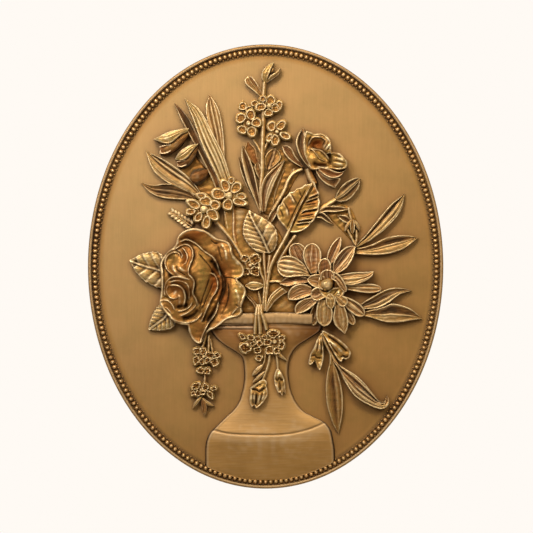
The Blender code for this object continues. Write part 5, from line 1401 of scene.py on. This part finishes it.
sprigSeeds = {  # the ear of small seeds at the left: pairs along its stalk
    "from": (-85.5, 49.5), "to": (-66, 36), "pairs": 7, "apart": 2.7, "long": 2.6, "wide": 1.7, "height": 3.6,
}


def seedSprig():
    # Seeds either side of a stalk, each an egg-shaped cup turned outwards along it.
    start, end = np.array(sprigSeeds["from"]), np.array(sprigSeeds["to"])
    run = (end - start) / np.hypot(*(end - start))
    side = np.array([-run[1], run[0]])
    turn = math.degrees(math.atan2(run[1], run[0]))
    made = [stem([tuple(start), tuple((start + end) / 2), tuple(end)], 1.8, 2.8)]
    for i in range(sprigSeeds["pairs"]):
        place = start + (end - start) * (i + 0.3) / sprigSeeds["pairs"]
        for way in (-1, 1):
            x, z = place + side * way * sprigSeeds["apart"] * (0.75 + 0.06 * i)
            made.append(cup(
                x, z, sprigSeeds["long"], sprigSeeds["wide"], turn - 35 * way, sprigSeeds["height"] - 0.6,
                dish=-0.9, rim=0.0, red=0.3, crest=0.8, around=18, rings=7,
            ))
    return made


flowerLevels = {  # of the parts of a small flower under its height, mm
    "petalDrop": 1.2,  # the first petal, and the ones listed later lie a little higher
    "underDrop": 3.2,  # the dark petals that fill the gaps, which are wider by underWider
    "underWider": 1.1,
    "cushionDrop": 2.6,  # round the button
    "cushionWider": 2.6,
}


def flowerForms(petals, height, heart, crumple=0.2):
    # Cupped petals round a button, over wider and lower ones that close the gaps.
    under = dict(dish=0.6, rim=0.2, dark=0.3, rings=7)
    drop, wider = flowerLevels["petalDrop"], flowerLevels["underWider"]
    made = []
    for i, (x, z, wide, high, turn) in enumerate(petals):
        made.append(cup(x, z, wide, high, turn, height - drop + drop * i / len(petals), crumple=crumple))
    for x, z, wide, high, turn in petals:
        level = height - flowerLevels["underDrop"]
        made.append(cup(x, z, wide + wider, high + wider, turn, level, red=0.5, crest=0.1, **under))
    if heart:
        x, z, size = heart
        cushion = size + flowerLevels["cushionWider"]
        level = height - flowerLevels["cushionDrop"]
        made.append(cup(x, z, cushion, cushion, 0, level, red=0.6, crest=0.3, **under))
        made.append(cup(x, z, size, size, 0, height + 0.1, dish=-1.0, rim=0.0, red=0.0, dark=0.0, crest=0.7))
    return made


def shaped(items):
    # Leaves given by their outlines or by base, tip and width.
    return [leaf(**item) if "left" in item else blade(**item) for item in items]


# How each kind of mass is drawn: rim, patina and fineness
# the backing is darkened in the bouquet's middle by a broad painted shade among the stems
backingLook = dict(
    swells=[], strokes={}, roll=2.4, lip=0.0, red=0.25, shadeAt=[(-15, 50, 60, 40, 0.18)], around=160, rings=40,
)
budLook = dict(red=0.25, roll=0.8, lip=0.5, around=150, rings=44)
dahliaBall = dict(dish=-3.0, rim=0.0, roll=1.6, red=0.0, dark=0.0, crest=0.55, around=40, rings=20)

print("shaping the relief")
dahliaLeaves = [dict(petal, fine=0.11, red=0.3 + 0.7 * petal["red"]) for petal in dahliaPetals]
shapes = {
    "plaque_ground": [ovalBody()],
    "bead_string": beads(),
    "vase": [vaseBody(), vaseLip()],
    "backing": [carved(**mass, **backingLook) for mass in backing],
    "long_leaves": shaped(longLeaves),
    "toothed_leaves": [carved(**bigLeaf), *shaped(toothedLeaves)],
    "stems": [stem(**item) for item in stems] + seedSprig(),
    "rose": [carved(**rose)],
    "peony": [carved(**peonyHead, around=300, rings=90), *shaped(peonyPetals)],
    "dahlia": [*shaped(dahliaLeaves), carved(**dahliaHeart), cup(54.8, -16.2, 5.3, 5.2, 0, 14.6, **dahliaBall)],
    "small_flowers": [form for flower in smallFlowers.values() for form in flowerForms(**flower)],
    "bells_and_buds": shaped(bellsAndBuds) + [carved(**bud, **budLook) for bud in carvedBuds],
}


# Patina and painted shade that follow the relief: what lies lower than its surroundings keeps the dark wash and takes
# painted occlusion shade

patina = {
    "cell": 0.8,  # mm between points of the height map
    "near": 1.4,  # mm, blur that finds narrow grooves
    "wide": 6.0,  # mm, blur that finds the shade round raised parts
    "nearDark": 0.15,
    # the near share darkens grooves, wash with painted occlusion shade; the wide shares paint shade, dark and warm,
    # round raised parts
    "wideShade": 0.004,
    "wideWarmShade": 0.05,
    "nearLight": 0.34,
    "groundShare": 0.3,  # the ground was wiped cleaner than the flowers, and takes less of the painted shade
}


def cellsAt(x, z):
    # Row and column of the map, as fractions, at places on the face.
    return (z + plaque["height"] / 2) / patina["cell"], (x + plaque["width"] / 2) / patina["cell"]


def heightMap(stacks):
    # The highest point of the relief over each cell, with empty cells filled from their neighbours.
    shape = tuple(int(plaque[side] / patina["cell"]) + 3 for side in ("height", "width"))
    top = np.full(shape, -plaque["ground"])
    for s in stacks:
        x, z, h = s["points"].reshape(-1, 3).T
        row, column = ((at + 1).astype(int).clip(0, size - 1) for at, size in zip(cellsAt(x, z), shape))
        np.maximum.at(top, (row, column), h)
    for _ in range(3):
        around = np.max([np.roll(top, (i, j), (0, 1)) for i in (-1, 0, 1) for j in (-1, 0, 1)], axis=0)
        top = np.where(top < -1.5, around, top)
    return np.maximum(top, -2.0)


def blurred(field, size):
    # A bell-shaped blur of size millimetres, as the product exp(-2 (pi size f)^2) in frequency f.
    cells = size / patina["cell"]
    down, right = np.fft.fftfreq(field.shape[0])[:, None], np.fft.rfftfreq(field.shape[1])[None, :]
    kept = np.exp(-2 * (math.pi * cells) ** 2 * (down**2 + right**2))
    return np.fft.irfft2(np.fft.rfft2(field) * kept, s=field.shape)


def sampled(field, x, z):
    # The field between its four nearest cells.
    row, column = ((at + 0.5).clip(0, size - 1.01) for at, size in zip(cellsAt(x, z), field.shape))
    i, j = row.astype(int), column.astype(int)
    v, u = row - i, column - j
    lower = field[i, j] * (1 - u) + field[i, j + 1] * u
    upper = field[i + 1, j] * (1 - u) + field[i + 1, j + 1] * u
    return lower * (1 - v) + upper * v


def addPatina(stacks, share):
    # On the front, darkens by how far a point lies under the blurred map and lightens by how far it
    # lies over it. A point that is dark already takes less of the pale gold.
    for s in stacks:
        x, z, h = np.moveaxis(s["points"], -1, 0)
        hollow, crest, red = np.moveaxis(s["wearAndPaintedLight"], -1, 0)
        under, shaded = sampled(nearMap, x, z) - h, np.clip(sampled(wideMap, x, z) - h, 0, None)
        shown = ease(1 + h)
        # grooves keep the wash with painted occlusion shade, and points under the wide blur take painted shade
        washAndShade = patina["nearDark"] * np.clip(under, 0, None) + patina["wideShade"] * shaded
        hollow = np.clip(hollow + share * shown * washAndShade, 0, 1)
        rubbed = shown * patina["nearLight"] * np.clip(-under - 0.3, 0, 1)
        crest = crest * (1 - 0.5 * hollow) + rubbed * (1 - 0.75 * hollow)
        red = red + shown * patina["wideWarmShade"] * shaded
        s["wearAndPaintedLight"] = np.stack([hollow, np.clip(crest, 0, 1), np.clip(red, 0, 1)], axis=-1)


print("working out the patina")
relief = heightMap([s for stacks in shapes.values() for s in stacks])
nearMap, wideMap = blurred(relief, patina["near"]), blurred(relief, patina["wide"])
for name, stacks in shapes.items():
    addPatina(stacks, patina["groundShare"] if name == "plaque_ground" else 1.0)


# Meshes

def toWorld(points):
    # Millimetres on the face to metres in the frame: the back at y = 0, the relief towards -y.
    return np.stack([points[..., 0], -(plaque["ground"] + points[..., 2]), points[..., 1]], axis=-1) * 0.001


def ringFaces(points):
    # Quads round each pair of rings, and one cap at each end, turned so that the volume is positive.
    rings, around = points.shape[:2]
    index = np.arange(rings * around).reshape(rings, around)
    following = np.roll(index, -1, axis=1)
    quads = np.stack([index[:-1], index[1:], following[1:], following[:-1]], axis=-1).reshape(-1, 4)
    flat = points.reshape(-1, 3) - points.reshape(-1, 3).mean(axis=0)
    a, b, c, d = (flat[quads[:, i]] for i in range(4))
    volume = np.einsum("ij,ij->", a, np.cross(b, c)) + np.einsum("ij,ij->", a, np.cross(c, d))
    first, last = index[0], index[-1][::-1]
    if volume < 0:
        quads, first, last = quads[:, ::-1], first[::-1], last[::-1]
    return quads, [first, last]


def makePiece(name, stacks, material):
    # All the bodies of one piece in one mesh, with their patina, painted shade and painted sheen as a colour attribute.
    places, corners, sizes, wearAndPaintedLight, start = [], [], [], [], 0
    for s in stacks:
        points = toWorld(s["points"])
        if points.ndim == 3:
            points = points[None]
        wearAndPaintedLight.append(s["wearAndPaintedLight"].reshape(-1, 3))
        quads, caps = ringFaces(points[0])
        each = points.shape[1] * points.shape[2]
        for body in range(len(points)):
            offset = start + body * each
            corners += [(quads + offset).ravel(), *(cap + offset for cap in caps)]
            sizes += [np.full(len(quads), 4), np.array([len(cap) for cap in caps])]
        places.append(points.reshape(-1, 3))
        start += each * len(points)
    places, corners, sizes, wearAndPaintedLight = (np.concatenate(v) for v in (places, corners, sizes, wearAndPaintedLight))
    mesh = bpy.data.meshes.new(name)
    mesh.vertices.add(len(places))
    mesh.vertices.foreach_set("co", places.ravel())
    mesh.loops.add(len(corners))
    mesh.loops.foreach_set("vertex_index", corners.astype(np.int32))
    mesh.polygons.add(len(sizes))
    mesh.polygons.foreach_set("loop_start", np.concatenate([[0], np.cumsum(sizes)[:-1]]).astype(np.int32))
    mesh.update(calc_edges=True)
    mesh.polygons.foreach_set("use_smooth", np.ones(len(sizes), bool))
    wearLayer = mesh.color_attributes.new("wearAndPaintedLight", "FLOAT_COLOR", "POINT")
    wearLayer.data.foreach_set("color", np.column_stack([wearAndPaintedLight, np.ones(len(wearAndPaintedLight))]).ravel())
    mesh.materials.append(material)
    mesh.validate()
    piece = bpy.data.objects.new(name, mesh)
    bpy.context.scene.collection.objects.link(piece)
    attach(piece, "root")
    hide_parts("floral_plaque")
    print(f"{name}: {int((sizes - 2).sum())} triangles")


# Materials

def colour(hexValue):
    # sRGB hex to linear light.
    parts = [int(hexValue[i : i + 2], 16) / 255 for i in (1, 3, 5)]
    return tuple(p / 12.92 if p <= 0.04045 else ((p + 0.055) / 1.055) ** 2.4 for p in parts) + (1.0,)


def addNode(tree, kind, links=None, **settings):
    # Adds a node, sets its properties or its sockets' values, and links sockets by name or number.
    node = tree.nodes.new(kind)
    for key, value in settings.items():
        if hasattr(node, key):
            setattr(node, key, value)
        else:
            node.inputs[key.replace("_", " ")].default_value = value
    for socket, source in (links or {}).items():
        tree.links.new(source, node.inputs[socket])
    return node


def noise(tree, vector, scale, **settings):
    # Noise of this scale to the metre, 0 to 1.
    return addNode(tree, "ShaderNodeTexNoise", {"Vector": vector}, Scale=scale, **settings).outputs["Fac"]


def ranged(tree, value, low, high, **settings):
    # The value's range from low to high, spread over 0 to 1 or over To_Min to To_Max.
    links = {"Value": value}
    return addNode(tree, "ShaderNodeMapRange", links, From_Min=low, From_Max=high, **settings).outputs["Result"]


def times(tree, *values):
    # The product of two values, plus the third if there is one, kept between 0 and 1.
    operation = "MULTIPLY" if len(values) == 2 else "MULTIPLY_ADD"
    return addNode(tree, "ShaderNodeMath", dict(enumerate(values)), operation=operation, use_clamp=True).outputs[0]


def coated(tree, under, share, paint):
    # One coat over another, as thick as its share.
    coat = addNode(tree, "ShaderNodeMix", {0: share, 6: under}, data_type="RGBA")
    coat.inputs[7].default_value = colour(paint)
    return coat.outputs[2]


def antiqueGold(name, finish):
    # Cast resin, primed brown, sprayed with a satin gold lacquer, washed with dark glaze and wiped: the
    # glaze stays in the hollows, the crests are rubbed to pale gold, and a thin red-brown shows between.
    # The lacquer's sheen is tinted gold, and rougher where the wash lies.
    material = bpy.data.materials.new(name)
    material.use_nodes = True
    tree = material.node_tree
    shader = tree.nodes["Principled BSDF"]
    wearAndPaintedLight = addNode(tree, "ShaderNodeAttribute", attribute_name="wearAndPaintedLight")
    shares = addNode(tree, "ShaderNodeSeparateColor", {"Color": wearAndPaintedLight.outputs["Color"]})
    hollow, crest, red = (shares.outputs[name] for name in ("Red", "Green", "Blue"))

    # patches, mottle and the marks of the brush
    place = addNode(tree, "ShaderNodeTexCoord").outputs["Object"]
    blotch = noise(tree, place, 1000 / finish["blotch"], Detail=4.0)
    mottle = noise(tree, place, 1000 / finish["mottle"], Detail=3.0, Roughness=0.65)
    drawnOut = (1000 / finish["strokeAcross"], 60.0, 1000 / finish["strokeUp"])
    strokes = addNode(tree, "ShaderNodeMapping", {"Vector": place}, Scale=drawnOut)
    brush = noise(tree, strokes.outputs["Vector"], 1.0, Detail=5.0, Roughness=0.6)
    greener = ranged(tree, mottle, 0.38, 0.62)
    speckle = ranged(tree, mottle, 0.60, 0.72, To_Max=finish["speckle"])
    patchy = ranged(tree, blotch, 0.3, 0.7, To_Min=0.65, To_Max=1.3)
    streak = ranged(tree, brush, 0.3, 0.7, To_Min=1 - finish["streak"], To_Max=1 + finish["streak"])

    # the coats, from the lacquer up
    # Where the shares hold painted light, the wash coat paints shade and the rubbed coat paints sheen and highlights.
    washed = times(tree, hollow, patchy, speckle)
    gold = addNode(tree, "ShaderNodeMix", {0: greener}, data_type="RGBA")
    gold.inputs[6].default_value, gold.inputs[7].default_value = colour(finish["gold"]), colour(finish["olive"])
    warm = coated(tree, gold.outputs[2], times(tree, red, patchy), finish["redBrown"])
    dark = coated(tree, warm, washed, finish["washAndShade"])
    pale = coated(tree, dark, times(tree, crest, streak), finish["rubbed"])
    toned = addNode(tree, "ShaderNodeMix", {6: pale, 7: streak}, data_type="RGBA", blend_type="MULTIPLY")
    toned.inputs[0].default_value = 1.0
    tree.links.new(toned.outputs[2], shader.inputs["Base Color"])
    rough = ranged(tree, washed, 0.0, 1.0, To_Min=finish["roughness"], To_Max=finish["washRoughness"])
    tree.links.new(rough, shader.inputs["Roughness"])
    shader.inputs["Metallic"].default_value = finish["metallic"]
    shader.inputs["Specular Tint"].default_value = colour(finish["sheen"])
    grain = addNode(tree, "ShaderNodeBump", {"Height": brush}, Strength=finish["grain"], Distance=0.0002)
    tree.links.new(grain.outputs["Normal"], shader.inputs["Normal"])
    return material


reliefFinish = {
    "gold": "#a27b41",
    "olive": "#88723a",
    "redBrown": "#884a1c",
    "washAndShade": "#2c1908",
    "rubbed": "#d6c196",
    "sheen": "#dcb888",
    "metallic": 0.55,
    "roughness": 0.45,
    "washRoughness": 0.68,
    "streak": 0.10,  # how much brush marks lighten and darken it
    "grain": 0.25,  # how rough brush marks feel
    "speckle": 0.28,  # wash left in specks
    "blotch": 14.0, "mottle": 3.2,  # mm
    "strokeAcross": 6.0, "strokeUp": 0.8,  # mm, size of a brush mark
}
# On the ground the rubbed colour also paints the sheen towards the top left, and the wash colour the shade towards the
# lower right.
groundFinish = dict(
    reliefFinish, gold="#97743f", olive="#8f703b", redBrown="#774420", washAndShade="#2a170b", rubbed="#b6a283",
    sheen="#f2e2d0", metallic=0.5, roughness=0.56, streak=0.04, grain=0.12, speckle=0.05, blotch=60.0,
    mottle=22.0, strokeAcross=1.3, strokeUp=26.0,
)
vaseFinish = dict(
    groundFinish, gold="#a8834d", olive="#9f7b44", sheen="#e2bc8c", strokeAcross=40.0, strokeUp=1.6,
    streak=0.05, speckle=0.08, mottle=30.0,
)

print("mixing the finishes")
reliefGold = antiqueGold("antique_gold_lacquer_on_relief", reliefFinish)
groundGold = antiqueGold("antique_gold_lacquer_on_ground", groundFinish)
vaseGold = antiqueGold("antique_gold_lacquer_on_vase", vaseFinish)

print("building the pieces")
for name, stacks in shapes.items():
    makePiece(name, stacks, {"plaque_ground": groundGold, "vase": vaseGold}.get(name, reliefGold))


# Stage, lights and camera

stage = {
    "floorDrop": 0.42,  # m under the middle of the plaque
    "floorRadius": 0.9,
    "floorPaint": "#e9e4da",
    "cameraDistance": 2.6,  # m in front of the rim
    "frameWidth": 0.4797,  # m across the photograph at the rim
    "rimPlane": 2.0,  # mm over the ground, where that width is taken
    "aside": 0.0008,  # m, the plaque sits this far left of the frame's middle
}

lamps = {  # place and target in m, size in m, power in W, tint, spread in degrees
    "key": ((-0.18, -0.76, 0.88), (0.02, 0, 0.07), 0.40, 1.0, "#ffeed2", 44),
    "window": ((-0.50, -0.72, 0.46), (-0.08, 0, 0.11), 0.40, 1.2, "#eeeaf0", 60),
    "fill": ((0.75, -1.1, 0.75), (0.12, 0, 0.12), 0.6, 1.35, "#fff2dc", 60),
    "back": ((0.4, 1.5, 0.9), (0, 0, 0), 1.2, 9, "#ffffff", 180),
}

room = {
    "wall": "#fffaf4",  # the pale wall that the plaque is seen against
    "dimSide": "#6f6a62",  # the room on the viewer's side, which the gold mirrors
    "turnsAt": (-0.35, 0.45),  # y of the direction where the one becomes the other
}


def areaLight(name, place, target, size, power, tint, spread):
    # A square lamp at its place, turned so that it looks at its target.
    lamp = bpy.data.lights.new(name, "AREA")
    lamp.spread = math.radians(spread)
    lamp.shape, lamp.size, lamp.energy, lamp.color = "SQUARE", size, power, colour(tint)[:3]
    holder = bpy.data.objects.new(name, lamp)
    holder.location = place
    way = np.array(target) - np.array(place)
    holder.rotation_euler = (math.atan2(math.hypot(way[0], way[1]), -way[2]), 0, math.atan2(-way[0], way[1]))
    bpy.context.scene.collection.objects.link(holder)
    return holder


def paleFloor():
    # A round floor under the plaque, in matt pale paint.
    a = np.linspace(0, 2 * math.pi, 64, endpoint=False)
    ring = np.column_stack([np.cos(a), np.sin(a), 0 * a]) * stage["floorRadius"] - [0, 0, stage["floorDrop"]]
    mesh = bpy.data.meshes.new("floor")
    mesh.from_pydata(ring.tolist(), [], [list(range(len(a)))])
    paint = bpy.data.materials.new("matt_pale_paint")
    paint.use_nodes = True
    shader = paint.node_tree.nodes["Principled BSDF"]
    shader.inputs["Base Color"].default_value = colour(stage["floorPaint"])
    shader.inputs["Roughness"].default_value = 0.8
    mesh.materials.append(paint)
    floor = bpy.data.objects.new("floor", mesh)
    bpy.context.scene.collection.objects.link(floor)
    return floor


def paleRoom():
    # A wall behind the plaque that turns smoothly into the dimmer side of the room, by the direction's y.
    world = bpy.data.worlds.new("pale_room")
    world.use_nodes = True
    tree = world.node_tree
    around = addNode(tree, "ShaderNodeTexCoord").outputs["Generated"]
    way = addNode(tree, "ShaderNodeSeparateXYZ", {"Vector": around})
    depth = ranged(tree, way.outputs["Y"], *room["turnsAt"], interpolation_type="SMOOTHSTEP")
    shade = addNode(tree, "ShaderNodeMix", {0: depth}, data_type="RGBA")
    shade.inputs[6].default_value, shade.inputs[7].default_value = colour(room["dimSide"]), colour(room["wall"])
    tree.links.new(shade.outputs[2], tree.nodes["Background"].inputs["Color"])
    return world


def squareOnCamera():
    # The photograph's view: square on, far off, with a lens of sensor width x distance / frame width.
    camera = bpy.data.cameras.new("camera")
    camera.lens = camera.sensor_width * stage["cameraDistance"] / stage["frameWidth"]
    front = (plaque["ground"] + stage["rimPlane"]) * 0.001
    viewer = bpy.data.objects.new("camera", camera)
    viewer.location = (stage["aside"], -(stage["cameraDistance"] + front), 0)
    viewer.rotation_euler = (math.pi / 2, 0, 0)
    bpy.context.scene.collection.objects.link(viewer)
    return viewer


print("lighting the stage")
floor = paleFloor()
lights = [areaLight(name, *lamp) for name, lamp in lamps.items()]
bpy.context.scene.world = paleRoom()
bpy.context.scene.view_settings.view_transform = "Standard"
bpy.context.scene.camera = squareOnCamera()

print("done")
